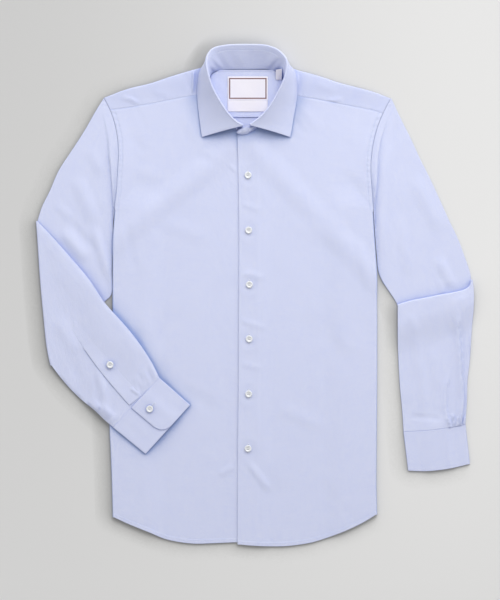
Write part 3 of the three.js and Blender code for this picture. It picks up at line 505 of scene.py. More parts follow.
def wovenLabel(name, width, height, border):  # bare satin, with a plain woven border if one is asked
    n = Nodes(bpy.data.materials.new(name))
    place = n.add("UVMap", uv_map="weave").outputs[0]
    across, up, _ = n.parts(place)
    u = n.math("SUBTRACT", width / 2, n.math("ABSOLUTE", across))
    v = n.math("SUBTRACT", height / 2, n.math("ABSOLUTE", n.math("SUBTRACT", up, height / 2)))
    inside = n.math("MINIMUM", u, v)
    fibre = n.noise(place, 1.0, 3.0, (0.2, 3.2, 1))
    colour = n.blend(fibre, finish["labelColour"], tuple(0.9 * c for c in finish["labelColour"]))
    if border:
        blur = finish["borderBlur"]
        rise = n.ramp(inside, border[0] - blur, border[0] + blur, smooth=False)
        fall = n.ramp(inside, border[1] - blur, border[1] + blur, 1.0, 0.0, smooth=False)
        colour = n.blend(n.math("MULTIPLY", rise, fall), colour, finish["borderColour"])
    woven = n.math("ADD", n.ribs(up, finish["labelRib"]), fibre)
    n.shade({"Base Color": colour, "Normal": n.bump(woven, 0.00005, 0.5), "Roughness": 0.5,
             "Sheen Weight": 0.2})
    return n.owner


def pearlButton(name):
    n = Nodes(bpy.data.materials.new(name))
    place = n.add("TexCoord").outputs["Object"]
    n.shade({
        "Base Color": n.blend(n.noise(place, 240.0, 4.0), finish["pearl"], finish["pearlCool"]),
        "Normal": n.bump(n.noise(place, 90.0, 2.0), 0.0001, 0.3),
        "Roughness": 0.22, "Coat Weight": 0.35, "Coat Roughness": 0.12,
    })
    return n.owner


# the table: grey, painted paler to the right and darker away from the hem, with painted shadows round the
# shirt
def tablePaint(name):
    n = Nodes(bpy.data.materials.new(name))
    x, y, _ = n.parts(n.add("TexCoord").outputs["Object"])
    right = n.math("MULTIPLY", n.ramp(x, *finish["floorRightFrom"]),
                   n.ramp(y, *finish["floorRightAlong"], smooth=False))
    colour = n.blend(right, finish["floor"], finish["floorRight"])
    colour = n.times(colour, n.ramp(y, *finish["floorFar"], smooth=False))
    colour = n.times(colour, n.paintedShade("floor"))
    n.shade({"Base Color": colour, "Roughness": 0.9, "Specular IOR Level": 0.1})
    return n.owner


# one cotton in several copies: besides the yoke's and collar's yarn share, they differ in painted shade,
# strong on the fronts and collar, slight inside the neck
shirting = wovenCotton("shirting", "sleeve")
frontCloth = wovenCotton("frontCloth", "front")
neckCloth = wovenCotton("neckCloth", "neck")
yokeCloth = wovenCotton("yokeCloth", "sleeve", 0.58)  # cut across the grain
collarCloth = wovenCotton("collarCloth", "collar", 0.52, 0.35)
seamThread = sewingThread("seamThread", finish["threadColour"])
whiteThread = sewingThread("whiteThread", (0.82, 0.82, 0.84))
# not thread: near-black painted shade, laid in the slits
slitShade = sewingThread("slitShade", (0.05, 0.06, 0.10), 0.9)
pearl = pearlButton("pearl")
print("finishes made")

# Camera, floor and light

view = {"x": -8.15, "y": -6.5, "high": 978, "distance": 3000}  # what the picture takes in
camera = addObject("camera", bpy.data.cameras.new("camera"))
camera.location = (view["x"] * mm + shift[0], view["y"] * mm + shift[1], view["distance"] * mm)
camera.data.lens = camera.data.sensor_width * view["distance"] / view["high"]
bpy.context.scene.camera = camera
bpy.context.scene.view_settings.view_transform = "Standard"

studio = {
    "sky": 0.49,  # the soft light from all over
    "skyColour": (1.0, 0.995, 0.985, 1),
    "ring": 1.56,  # the brighter band low round the sky, strongest beyond the collar
    "ringFrom": (0.05, 0.20),  # sine of the height where it starts
    "ringTo": (0.42, 0.72),  # and where it ends
    "ringTurn": 84,  # degrees from +X
    "ringEven": 0.48,
    "keyPlace": (0.42, 1.4, 1.5),
    "keySize": 1.3,
    "keyPower": 22.0,
    "floorHalf": 6.0,
    "floorHeight": -0.0002,
}


def areaLight(name, place, size, power):
    lamp = bpy.data.lights.new(name, "AREA")
    lamp.size, lamp.energy = size, power
    light = addObject(name, lamp)
    light.location = place
    towards = -light.location.normalized()
    light.rotation_euler = towards.to_track_quat("-Z", "Y").to_euler()


def studioSky():
    n = Nodes(bpy.data.worlds.new("studio"))
    x, y, z = n.parts(n.add("TexCoord").outputs["Generated"])
    turn = math.radians(studio["ringTurn"])
    towards = n.math("ADD", n.math("MULTIPLY", x, math.cos(turn)), n.math("MULTIPLY", y, math.sin(turn)))
    band = n.math("MULTIPLY", n.ramp(z, *studio["ringFrom"]), n.ramp(z, *studio["ringTo"], 1.0, 0.0))
    side = n.ramp(towards, -1.0, 1.0, 2 * studio["ringEven"] - 1, 1.0, smooth=False)
    band = n.math("MULTIPLY", band, n.math("MAXIMUM", side, 0.0))
    strength = n.math("ADD", n.math("MULTIPLY", band, studio["ring"]), studio["sky"])
    n.shade({"Color": studio["skyColour"], "Strength": strength})
    return n.owner


areaLight("key", studio["keyPlace"], studio["keySize"], studio["keyPower"])
bpy.context.scene.world = studioSky()
floorCorners = [(x * studio["floorHalf"], y * studio["floorHalf"], studio["floorHeight"])
                for x, y in ((-1, -1), (1, -1), (1, 1), (-1, 1))]
newObject("floor", np.array(floorCorners), [(0, 1, 2, 3)], tablePaint("floorPaint"))
print("studio set")

# The body: its outline, hem, neck and front edge

sideOutline = readTable("y right left", [
    [-359, -231.8, 199.0],
    [-300, -233.6, 197.8],
    [-251, -235.5, 198.2],
    [-210, -237.0, 198.6],
    [-105, -234.0, 199.2],
    [-5, -232.4, 199.0],
    [60, -232.1, 197.2],
    [108, -230.6, 194.2],
    [140, -229.0, 192.6],
    [173, -225.3, 190.4],
    [197, -224.1, 188.6],
    [222, -222.5, 188.8],
    [254, -223.3, 193.6],
    [280, -228.2, 201.0],
    [302, -235.5, 210.4],
    [323, -246.0, 221.5],
])
hemLine = readTable("x right left back", [
    [-240, -355, -355, -352],
    [-204, -371.6, -371.6, -369],
    [-171, -385.0, -385, -382],
    [-147, -395.3, -395, -392],
    [-122, -400.7, -400, -397],
    [-98, -403.1, -403, -399],
    [-73, -402.6, -403, -399],
    [-28, -400.7, -404.2, -397],
    [-8, -400.5, -405.9, -397],
    [21, -400.5, -407.4, -398],
    [49, -401, -407.2, -400],
    [73, -401, -404.6, -400],
    [98, -398, -399.8, -396],
    [130, -388, -388.8, -385],
    [155, -378, -378.5, -375],
    [179, -366, -366.4, -363],
    [205, -350, -350.4, -347],
])
frontTop = {
    "right": readTable("x y", [
        [-240, 302.4], [-212, 306.0], [-171, 313.0], [-138, 319.5], [-106, 325.7], [-75, 331.0],
        [-69, 322.0], [-60, 306.0], [-48, 289.5], [-35, 275.2], [-24, 264.0], [-14, 262.6], [6, 264.0],
    ])["y"],
    "left": readTable("x y", [
        [-30, 264.4], [-20, 263.2], [-10, 264.0], [4, 274.6], [18, 288.8], [32, 305.2],
        [42.6, 321.6], [48.5, 330.0], [73, 325.2], [106, 319.5], [130, 314.6], [155, 309.7],
        [179, 305.1], [212, 296.6],
    ])["y"],
}
placketEdge = readTable("y x", [
    [-405, -28.2], [-251, -27.7], [-153, -26.7], [-5, -26.1], [91, -25.6], [157, -26.2],
    [222, -27.4], [266, -28.6],
])["x"]
frontButtons = [(-11.4, 196.7), (-10.3, 107.1), (-9.3, 18.7), (-9.5, -69.8), (-10.3, -159.4), (-11.4, -248.2)]

# Stations round the collar, from the right front round the back of the neck to the left front:
# neck seam x y z, top fold x y z, outer edge x y z, then how far out and down the leaf bellies
collarStations = np.array([
    [-22.8, 264.9, 3.9, -19.6, 278.7, 17, -85.9, 259.2, 3.9, 0.5, 0.3],
    [-34.2, 277.1, 3.9, -29.3, 283.6, 19, -87.5, 268.9, 3.9, 0.5, 0.3],
    [-47.3, 291.0, 3.8, -40.8, 294.2, 22, -89.6, 285.2, 3.9, 0.5, 0.3],
    [-59.5, 307.3, 3.7, -52.2, 309.7, 26, -91.9, 303.2, 3.9, 0.5, 0.3],
    [-68.5, 324.4, 3.5, -61.1, 324.4, 29, -93.6, 321.1, 3.9, 0.52, 0.3],
    [-73.3, 340.7, 3.3, -68.5, 339.0, 32, -94.2, 337.4, 4.0, 0.55, 0.3],
    [-74.2, 352.9, 3.1, -73.3, 353.7, 34, -93.6, 352.1, 4.2, 0.6, 0.3],
    [-70.1, 362.7, 2.8, -76.9, 368.4, 35, -90.8, 364.3, 4.4, 0.7, 0.35],
    [-62.8, 366.8, 2.2, -77.9, 380.6, 34, -83.9, 376.5, 3.6, 0.7, 0.5],
    [-53.8, 368.4, 1.8, -75.3, 390.4, 31, -76.6, 383.0, 1.4, -0.2, 0.8],
    [-44.0, 368.9, 1.6, -67.6, 399.7, 27, -65.2, 384.7, 0.9, -0.1, 0.9],
    [-31.0, 369.2, 1.5, -47.3, 405.5, 23, -44.0, 384.7, 0.9, -0.02, 0.95],
    [-14.7, 369.2, 1.5, -14.7, 407.0, 21, -14.7, 383.9, 0.9, -0.02, 0.95],
    [1.6, 369.5, 1.5, 16.3, 405.5, 23, 14.7, 384.7, 0.9, -0.02, 0.95],
    [14.7, 369.4, 1.6, 35.0, 398.5, 27, 35.9, 384.7, 0.9, -0.1, 0.9],
    [24.4, 368.7, 1.8, 44.8, 389.6, 31, 48.1, 383.0, 1.4, -0.2, 0.8],
    [33.4, 366.8, 2.2, 49.9, 380.6, 34, 56.2, 375.7, 3.6, 0.7, 0.5],
    [41.6, 361.9, 2.8, 50.5, 368.4, 35, 64.4, 366.8, 4.4, 0.7, 0.35],
    [46.6, 352.1, 3.1, 47.8, 355.3, 34, 68.8, 354.5, 4.2, 0.6, 0.3],
    [46.9, 339.0, 3.3, 41.9, 340.7, 32, 69.1, 339.0, 4.0, 0.55, 0.3],
    [41.6, 322.7, 3.5, 33.4, 324.4, 29, 67.8, 322.7, 3.9, 0.52, 0.3],
    [31.0, 306.4, 3.9, 23.6, 308.9, 26, 65.2, 305.6, 3.9, 0.5, 0.3],
    [17.1, 290.1, 4.8, 12.2, 295.0, 23, 61.9, 288.5, 3.9, 0.5, 0.3],
    [3.3, 276.3, 5.2, 1.6, 286.1, 20, 59.2, 270.6, 3.9, 0.5, 0.3],
    [-9.8, 265.7, 5.3, -8.1, 279.5, 18, 57.0, 259.2, 3.9, 0.5, 0.3],
])

body = {
    "turnUnder": 48,  # cloth folded under along each side
    "turnUnderSlope": 38,
    "sideRise": 60,
    "underarmY": 138,
    "underarmShare": 0.75,  # of a panel's length, from the hem
    "sideTop": {"right": 302.8, "left": 297.2},
    "frontLength": 690,
    "backLength": 640,
    "edgeX": -28,  # of the left front's edge, roughly
    "backSeamY": 291,
    "frontLap": 33,  # left front over right front
    "facing": 33.5,  # width of the turned facing, which shows as a faint line
    "hemBand": 6.0,
    "hemRaise": 0.35,
    "seamGroove": 0.28,
    "topstitchIn": 6.4,  # from the armhole seam
    "puckerPitch": 8.5,
    "puckerHeight": 0.3,
}
inward = {"right": 1, "left": -1}
foldInset = cloth["pitch"] * 1.5 + cloth["wall"] / 2

bodyCreases = {
    "right": [
        ([(-120, 300), (-95, 255)], 14, 0.6),
        ([(-57, -292), (-36, -276)], 9, 0.8),
        ([(-200, 210), (-150, 190)], 18, 0.5),
        ([(-42, 214), (-29, 202)], 6, 0.7),
        ([(-205, 262), (-176, 232)], 12, -0.4),
        ([(-150, 120), (-80, 96)], 20, 0.6),
        ([(-190, -30), (-150, -110)], 22, 0.7),
        ([(-120, -150), (-60, -190)], 18, -0.6),
        ([(-210, 120), (-196, 40)], 12, -0.7),
        ([(-100, 230), (-60, 215)], 14, -0.5),
    ],
    "left": [
        ([(-20, 37), (14, 30)], 9, 0.9),
        ([(-10, -272), (24, -316)], 10, 1.4),
        ([(150, 215), (182, 178)], 16, 0.6),
        ([(-24, -39), (16, -52)], 8, 0.8),
        ([(73, 311), (106, 270)], 14, 0.6),
        ([(60, 290), (84, 262)], 10, -0.6),
        ([(60, 120), (130, 90)], 22, 0.6),
        ([(110, -40), (150, -120)], 22, -0.7),
        ([(170, 90), (184, 10)], 12, 0.8),
        ([(40, -180), (110, -215)], 18, 0.7),
        ([(-20, 150), (10, 140)], 8, 0.5),
        ([(-22, -110), (12, -118)], 8, 0.5),
    ],
}
bodyCreases["right"] += faintCreases(11, 70, (-232, -395, 0, 310), 70, 0.30)
bodyCreases["left"] += faintCreases(12, 70, (-28, -395, 196, 310), 100, 0.30)


def neckLift(x, y, reach=28):
    _, far, _ = nearLine(collarStations[:, :2], x, y)
    return 2.0 * ease(1 - far / reach)


def insideBy(side, x, y):
    return (x - sideOutline[side](y)) * inward[side]


def turnUnderLift(side, x, y):
    foot = body["turnUnder"] + 2 + body["turnUnderSlope"]
    slope = ease((foot - insideBy(side, x, y)) / body["turnUnderSlope"])
    return 2 * cloth["pitch"] * ease((185 - y) / 45) * slope


def armholeLift(y):
    return ease((315 - y) / 110) * ease((y - 90) / 40)


def backHeight(x, y):
    return layer(0) + np.maximum(turnUnderLift("right", x, y), turnUnderLift("left", x, y))


def frontHeight(side, x, y):
    puffed = 2 * cloth["pitch"] * armholeLift(y) * ease(1 - insideBy(side, x, y) / 34)
    lap = cloth["pitch"] * ease((30 - x) / 22) if side == "left" else 0
    return layer(1) + 0.1 + np.maximum(turnUnderLift(side, x, y), puffed) + lap + neckLift(x, y)


def stitchedEdge(away, along, pitch, height):  # puckers that a row of stitches draws up
    wobble = 0.9 * np.sin(along / 31.0) + 0.7 * np.sin(along / 13.7 + 1.0)
    return height * np.sin(2 * math.pi * along / pitch + 2 * wobble) * ease(1 - np.abs(away) / 7)


def frontDetail(side, x, y, fromTop, fromHem):
    away = insideBy(side, x, y)
    upper = ease((y - body["underarmY"] + 6) / 10)
    detail = creased(bodyCreases[side], x, y) * ease(fromHem / 8) * ease(fromTop / 6)
    detail += body["hemRaise"] * ease((body["hemBand"] + 0.6 - fromHem) / 1.2)
    detail += stitchedEdge(fromHem - 3, x, 11, 0.1)
    detail -= body["seamGroove"] * ease(1 - fromTop / 2.2)
    detail -= upper * body["seamGroove"] * ease(1 - away / 2.2)
    detail -= upper * 0.3 * ease(1 - np.abs(away - body["topstitchIn"]) / 1.8)
    detail += upper * stitchedEdge(away - 4, y, body["puckerPitch"], body["puckerHeight"])
    if side == "left":
        fromEdge = x - placketEdge(y)
        detail += 0.3 * ease((body["facing"] + 0.8 - fromEdge) / 1.6)
    else:
        detail += 0.25 * ease((x + 27) / 8)
    for buttonX, buttonY in frontButtons:
        far = np.hypot(x - buttonX, (y - buttonY) * 0.8)
        detail -= 0.35 * ease(1 - far / 13)
        detail += 0.2 * ease(1 - np.abs(far - 15) / 7)
    return detail


def bodyGrid(columns, rows, panel):  # columns: part, reach, angle, x, side, line the column keeps to
    s = rows
    shape = (len(rows), len(columns))
    x, y, fold = np.zeros(shape), np.zeros(shape), np.zeros(shape)
    under, strip = np.zeros(len(columns), bool), np.zeros(shape, bool)
    way = np.zeros(shape)
    underarmShare = body["underarmShare"]
    for j, column in enumerate(columns):
        if column["part"] == "plain":
            x[:, j] = column["x"]
            for _ in range(3):
                y[:, j] = mix(panel["hem"](x[:, j]), panel["top"](x[:, j]), s)
                if "at" in column:
                    x[:, j] = column["at"](y[:, j])
            continue
        side = column["side"]
        go = inward[side]
        inset = mix(foldInset, cloth["seamGap"] / 2, np.clip((s - underarmShare) / 0.008, 0, 1))
        hemX = sideOutline[side](-355) + go * inset
        topX = sideOutline[side](panel["sideTop"]) + go * cloth["seamGap"] / 2
        if column["part"] == "strip":
            far = (column["reach"] / body["turnUnder"]) ** 1.6
            hemY = panel["hem"](hemX) + body["sideRise"] * far
            y[:, j] = mix(hemY, body["underarmY"] - 45 * far, np.minimum(s / underarmShare, 1))
            x[:, j] = sideOutline[side](y[:, j]) + go * (inset + column["reach"])
            under[j] = strip[:, j] = True
            continue
        reach = column["reach"] if column["part"] == "main" else 0
        y[:, j] = mix(panel["hem"](hemX + go * reach), panel["top"](topX + go * reach), s)
        edgeY = mix(panel["hem"](hemX), panel["top"](topX), s)
        x[:, j] = sideOutline[side](edgeY) + go * (inset + reach)
        if column["part"] == "turn":
            fold[:, j] = column["angle"]
            way[:, j] = go
            under[j] = True
    z = panel["height"](x, y, s[:, None])
    low = layer(panel["lower"])
    radius = (z - low) / 2
    turned = fold > 0
    x = np.where(turned, x - way * radius * np.sin(fold), x)
    z = np.where(turned, low + radius * (1 - np.cos(fold)), z)
    z = np.where(strip, low, z)
    above = (rows[:-1] >= underarmShare - 1e-9)[:, None]
    edge = (under[:-1] | under[1:])[None, :]
    return np.stack([x, y, z], -1), ~(above & edge)


def sideColumns(side, stripReach, mainReach, turns=7):
    return ([{"part": "strip", "side": side, "reach": r} for r in stripReach]
            + [{"part": "turn", "side": side, "angle": a} for a in halfTurn(turns)]
            + [{"part": "main", "side": side, "reach": r} for r in mainReach])


def panelRows(length, step):
    split = body["underarmShare"] * length
    return spaced(0, cloth["fine"], 9, step, split, step, length - 9, cloth["fine"], length) / length


def makeFront(side):
    start, end = (-128, 2) if side == "right" else (94, -24)
    reach = spaced(0, cloth["fine"], 9, cloth["plain"], 90)
    plain = spaced(start, cloth["plain"], end)
    lap = body["frontLap"] if side == "right" else 0
    nearEdge = [9.0, 7.5, 6.0, 4.5, 3.0, 2.0, 1.0, 0.0] if side == "left" else [6.0, 4.0, 2.0, 0.0]
    sign = 1 if side == "left" else -1
    edgeX = body["edgeX"] + lap
    keepFrom = edgeX + sign * (nearEdge[0] + 1.5)
    plain = plain[plain > keepFrom] if side == "left" else plain[plain < keepFrom]
    columns = sideColumns(side, spaced(body["turnUnder"], 4.0, 4), reach)
    columns += [{"part": "plain", "x": x} for x in plain]
    columns += [{"part": "plain", "x": edgeX, "at": (lambda y, n=n: placketEdge(y) + lap + sign * n)}
                for n in nearEdge]
    length = body["frontLength"]

    def height(x, y, s):
        return frontHeight(side, x, y) + frontDetail(side, x, y, (1 - s) * length, s * length)

    grid, keep = bodyGrid(columns, panelRows(length, cloth["plain"]), {
        "hem": hemLine[side], "top": frontTop[side], "lower": 0, "height": height,
        "sideTop": body["sideTop"][side],
    })
    surface = clothPiece(f"{side}_front", grid, frontCloth, keep=keep, rim=3,
                         anchor=len(columns) - 1)
    return surface, columns


rightFront, rightFrontColumns = makeFront("right")
leftFront, leftFrontColumns = makeFront("left")


def makeBack():
    reach = spaced(0, 3.0, 9, 8.0, 89)
    middle = spaced(-128, 8.0, 92)
    columns = sideColumns("right", spaced(body["turnUnder"], 6.0, 4), reach)
    columns += [{"part": "plain", "x": x} for x in middle]
    columns += sideColumns("left", spaced(body["turnUnder"], 6.0, 4), reach)[::-1]
    length = body["backLength"]

    def height(x, y, s):
        return backHeight(x, y) + 0.15 * ease((body["hemBand"] + 0.6 - s * length) / 1.2)

    grid, keep = bodyGrid(columns, panelRows(length, cloth["hidden"]), {
        "hem": hemLine["back"],
        "top": lambda x: np.full(np.shape(x), body["backSeamY"] - cloth["seamGap"]),
        "lower": 1, "height": height, "sideTop": body["backSeamY"],
    })
    return clothPiece("back", grid, neckCloth, keep=keep), columns


back, backColumns = makeBack()
print("body panels made")

# The yoke, over both shoulders, and the inner yoke that the neck shows

shoulderLine = readTable("x y", [
    [-248, 322.6], [-204, 337.2], [-171, 345.0], [-138, 356.0], [-106, 365.6], [-86, 370.2], [-72, 367.0],
    [-60, 366.6], [-44, 367.6], [-14, 367.9], [15, 368.1], [33, 365.4],
    [44, 366.0], [56, 370.0], [73, 365.4], [106, 356.4], [138, 345.8], [171, 337.4], [196, 330.6],
    [223, 321.4],
])["y"]
neckSide = readTable("y right left", [
    [325, -69.6, 44.4], [331, -71.8, 47.2], [341, -74.7, 48.4], [353, -75.6, 48.2],
    [363, -72.4, 44.4], [368, -71.0, 42.8],
])
yoke = {
    "right": {"seam": (-236.5, -75.5), "fold": (-246, -72)},  # armhole end, neck end
    "left": {"seam": (208.5, 49), "fold": (221.5, 44)},
    "rise": 2.4,
    "creases": [
        ([(-216, 324), (-192, 316)], 7, 0.9),
        ([(-112, 362), (-108, 338)], 6, -0.6),
        ([(68, 362), (68, 345)], 4.5, 1.3),
        ([(140, 322), (119, 316)], 7, 0.9),
        ([(-165, 334), (-140, 326)], 9, 0.5),
        ([(100, 345), (130, 334)], 10, 0.5),
    ],
    "pleats": [
        ([(-102.5, 332), (-101.5, 350), (-101, 368)], 6, 2.6),
        ([(-206, 325), (-190, 315)], 7, 0.8),
    ],
}


def makeYoke():
    across = spaced(0, 0.006, 0.05, 0.018, 0.78, 0.006, 1)
    middle = spaced(-64, 7, 37)
    turns = halfTurn(6)
    fronts, backs = spaced(0, 0.03, 0.15, 0.07, 1), spaced(0, 0.08, 1)
    count = len(fronts) + len(turns) + len(backs)
    blocks = []
    for side in ("right", "left"):
        ends = yoke[side]
        seamX = mix(ends["seam"][0], ends["seam"][1], across)
        foldX = mix(ends["fold"][0], ends["fold"][1], across)
        seamY = frontTop[side](seamX) + cloth["seamGap"]
        foldY = shoulderLine(foldX) - cloth["wall"]
        backX = mix(sideOutline[side](body["backSeamY"]), neckSide[side](325), across)

        def ruled(s, x0, y0, x1, y1):
            s = s[:, None]
            x, y = mix(x0, x1, s), mix(y0, y1, s)
            armhole = sideOutline[side](y) + inward[side] * cloth["seamGap"] / 2
            x = x + (1 - across) ** 3 * (armhole[:, :1] - x[:, :1])
            return x + across**3 * (neckSide[side](y[:, -1:]) - x[:, -1:]), y

        x, y = ruled(fronts, seamX, seamY, foldX, foldY)
        fromSeam, fromFold = y - seamY, foldY - y
        away = insideBy(side, x, y)
        z = layer(1) + 0.65 * neckLift(x, y, 22) * ease(fromFold / 12)
        z = z + yoke["rise"] * ease(fromSeam / 34) * ease(away / 30)
        folds = creased(yoke["creases"], x, y) + pleated(yoke["pleats"], x, y)
        z = z + folds * ease(fromSeam / 3) * ease(fromFold / 3)
        z = z + 0.15 - body["seamGroove"] * (ease(1 - fromSeam / 2.2) + ease(1 - away / 2.2))
        z = z + stitchedEdge(fromSeam - 3, x, 9, 0.12) * ease(fromSeam / 2)
        high = z[-1]
        radius = (high - layer(0)) / 2
        turnX = np.repeat(x[-1:], len(turns), 0)
        turnY = y[-1] + radius * np.sin(turns)[:, None]
        turnZ = high - radius * (1 - np.cos(turns)[:, None])
        farX, farY = ruled(backs, x[-1], foldY, backX, np.full(len(across), float(body["backSeamY"])))
        block = np.concatenate([np.stack([x, y, z], -1), np.stack([turnX, turnY, turnZ], -1),
                                np.stack([farX, farY, np.full(farX.shape, layer(0))], -1)])
        blocks.append(block)
    foldY = shoulderLine(middle) - cloth["wall"]
    plain = np.zeros((count, len(middle), 3))
    plain[..., 0] = middle
    plain[..., 1] = foldY
    plain[-len(backs):, :, 1] = mix(foldY, body["backSeamY"], backs[:, None])
    plain[..., 2] = layer(0)
    grid = np.concatenate([blocks[0], plain, blocks[1][:, ::-1]], 1)
    keep = np.ones((count - 1, grid.shape[1] - 1), bool)
    keep[:count - len(backs), len(across) - 1:len(across) + len(middle)] = False
    surface = clothPiece("yoke", grid, yokeCloth, keep=keep, rim=3)
    right = surface[:len(fronts), :len(across)]
    left = surface[:len(fronts), -len(across):]
    for lobe, cut in ((right, (3, 22)), (left, (22, 3))):
        stitch(lineIn(lobe, "bottom", 2.0, cut), upward=True)


makeYoke()

neckInside = readTable("y right left", [
    [291.5, -44.0, 14.5], [306, -56.2, 27.6], [323, -65.4, 37.9], [340, -71.2, 44.2], [352, -72.2, 44.4],
    [361, -69.4, 40.4], [368.0, -57.5, 28.5],
])
innerYoke = {
    "creases": [
        ([(-62, 350), (-46, 330)], 9, 0.5),
        ([(30, 345), (36, 322)], 7, 0.5),
        ([(-50, 300), (-40, 312)], 6, 0.3),
    ],
}


def makeInnerYoke():
    y = spaced(291.5, 0.8, 296, 2.5, 363, 0.7, 368.0)[:, None]
    f = np.linspace(0, 1, 46)[None, :]
    x = mix(neckInside["right"](y), neckInside["left"](y), f)
    y = y + 0 * x
    z = layer(1) + creased(innerYoke["creases"], x, y)
    z = z + 0.25 * ease((299 - y) / 3) + 0.8 * ease((y - 364.5) / 3.5)
    surface = clothPiece("yoke_inner", np.stack([x, y, z], -1), neckCloth, rim=3)
    stitch(lineIn(surface, "bottom", 1.8), upward=True)


makeInnerYoke()
print("yoke made")

# The collar: a stand round the neck, and a leaf that rolls over its top

collar = {
    "wall": 1.1,
    "rollRadius": 1.3,
    "leafInside": 8,  # of the leaf that shows inside the neck
    "stitchIn": 5.5,
    "stations": 10,  # between each two of the table's rows
    "standCreases": 0.8,
    "tabBulge": 1.6,
}


def collarLines():
    rows = throughPoints(collarStations[:, :9], collar["stations"])
    share = np.linspace(0, len(collarStations) - 1, len(rows))
    place = np.arange(len(collarStations))
    out, down = (np.interp(share, place, collarStations[:, c]) for c in (9, 10))
    neck, fold, edge = rows[:, 0:3], rows[:, 3:6], rows[:, 6:9]
    along = unit(np.gradient(fold, axis=0))
    up = unit(fold - neck)
    outward = unit(np.cross(up, along))
    return neck, fold, edge, out[:, None], down[:, None], up, outward, share


neckSeam, topFold, outerEdge, bellyOut, bellyDown, standUp, standOut, stationAt = collarLines()


def makeStand():
    lap = readTable("i under", [[0, 2.6], [2, 1.2], [4, 0], [20, 0], [22, -0.4], [24, -0.8]])["under"]
    topBy = collar["leafInside"] + cloth["seamGap"] + 0.2
    tall = np.linalg.norm(topFold - neckSeam, axis=1)[:, None] - topBy
    shove = standOut * (-0.9 * lap(stationAt)[:, None])
    bottom, top = neckSeam + shove, neckSeam + standUp * tall + shove
    rightEnd = np.array([[-11.5, 265.2, 3.0, -11.0, 268.6, 4.2]])
    leftEnds = np.array([[-13, 263.6, 6.2, -12.8, 274.4, 12.6], [-21, 262.8, 7.4, -20.8, 271.2, 12.4],
                         [-26.8, 263.6, 7.4, -26.4, 268.8, 11.0], [-29.6, 265.2, 7.2, -29.4, 266.8, 9.2]])
    both = np.hstack([bottom, top])
    start = throughPoints(np.vstack([rightEnd, both[0], both[6]]), 8)[:8]
    end = throughPoints(np.vstack([both[-6], both[-1], leftEnds]), 8)[9:]
    end[:, 3:] += [0, 0.8, 0.4] * np.sin(np.linspace(0, math.pi, len(end)))[:, None]
    both = np.vstack([start, both, end])
    f = np.linspace(0, 1, 15)[None, :, None]
    grid = mix(both[:, None, :3], both[:, None, 3:], f)
    tab = ease((np.arange(len(both)) - len(both) + 2 * len(end)) / len(end))[:, None, None]
    grid = grid + collar["tabBulge"] * tab * np.array([0, -0.5, 1.0]) * np.sin(math.pi * f)
    at = np.arange(len(both))
    ripple = np.sin(at / 2.6) * np.sin(at / 9.0 + 0.6) + 0.6 * np.sin(at / 4.3 + 2.0)
    inside = unit(np.cross(grid[:, -1] - grid[:, 0], np.gradient(grid[:, 0], axis=0)))
    swell = collar["standCreases"] * ripple[:, None] * np.sin(math.pi * f[0, :, 0])[None, :]
    grid = grid + inside[:, None, :] * swell[..., None]
    surface = clothPiece("collar_stand", grid, collarCloth, collar["wall"], rim=3)
    inner = surface.copy()
    inner[..., 3:] *= -1
    stitch(lineIn(inner, "end", 2.0, (12, 12)), lift=collar["wall"] / 2)
    stitch(lineIn(inner, "start", 1.8, (4, 4)), lift=collar["wall"] / 2)


makeStand()


def makeLeaf():
    r = collar["rollRadius"]

    def on(along, across):
        return topFold + standUp * along + standOut * across

    inner = [on(a, 0) for a in spaced(-collar["leafInside"], 1.0, -r)]
    roll = [on(-r + r * math.sin(q), r - r * math.cos(q)) for q in np.linspace(0, math.pi, 9)[1:]]
    rollEnd = roll[-1]
    belly = mix(topFold, outerEdge, bellyOut)
    belly[:, 2:] = mix(rollEnd[:, 2:], outerEdge[:, 2:], bellyDown)
    falls = []
    for t in spaced(0, 0.035, 0.9, 0.018, 1)[1:]:
        falls.append((1 - t) ** 2 * rollEnd + 2 * t * (1 - t) * belly + t * t * outerEdge)
    grid = np.stack(inner + roll + falls, 1)
    at, fall = stationAt[:, None], np.linspace(0, 1, len(falls))[None, :]
    soft = 0.35 * np.sin(at * 1.35 + 0.4) * np.sin(math.pi * fall) + 0.2 * np.sin(at * 2.9 + 1.7 * fall)
    grid[:, -len(falls):, 2] += soft * ease(fall / 0.3) * ease((1.02 - fall) / 0.15)
    surface = clothPiece("collar_leaf", grid, collarCloth, collar["wall"], rim=5)
    d = collar["stitchIn"]
    skin = surface[:, len(inner) + len(roll):]
    facing = skin if skin[2, -3, 5] > 0 else np.concatenate([skin[..., :3], -skin[..., 3:]], -1)
    stitch(lineIn(facing, "end", d, (d, d)), lift=collar["wall"] / 2)
    for edge in ("bottom", "top"):
        stitch(lineIn(facing, edge, d, (3, d)), lift=collar["wall"] / 2)


makeLeaf()
print("collar made")

# Labels inside the neck, left bare

labels = {
    "wall": 0.35,
    "level": layer(1) + cloth["wall"] / 2 + 0.6,
    "label_main": {"x": (-44.6, 21.2), "y": (318.6, 357.4), "border": (2.4, 4.3)},
    "label_lower": {"x": (-44.6, 20.6), "y": (300.4, 318.2), "border": None},
    "size_tab": {"x": (34.0, 43.6), "y": (352.0, 367.6), "z": (3.4, 4.2, 9.5, 22.5), "border": None},
}


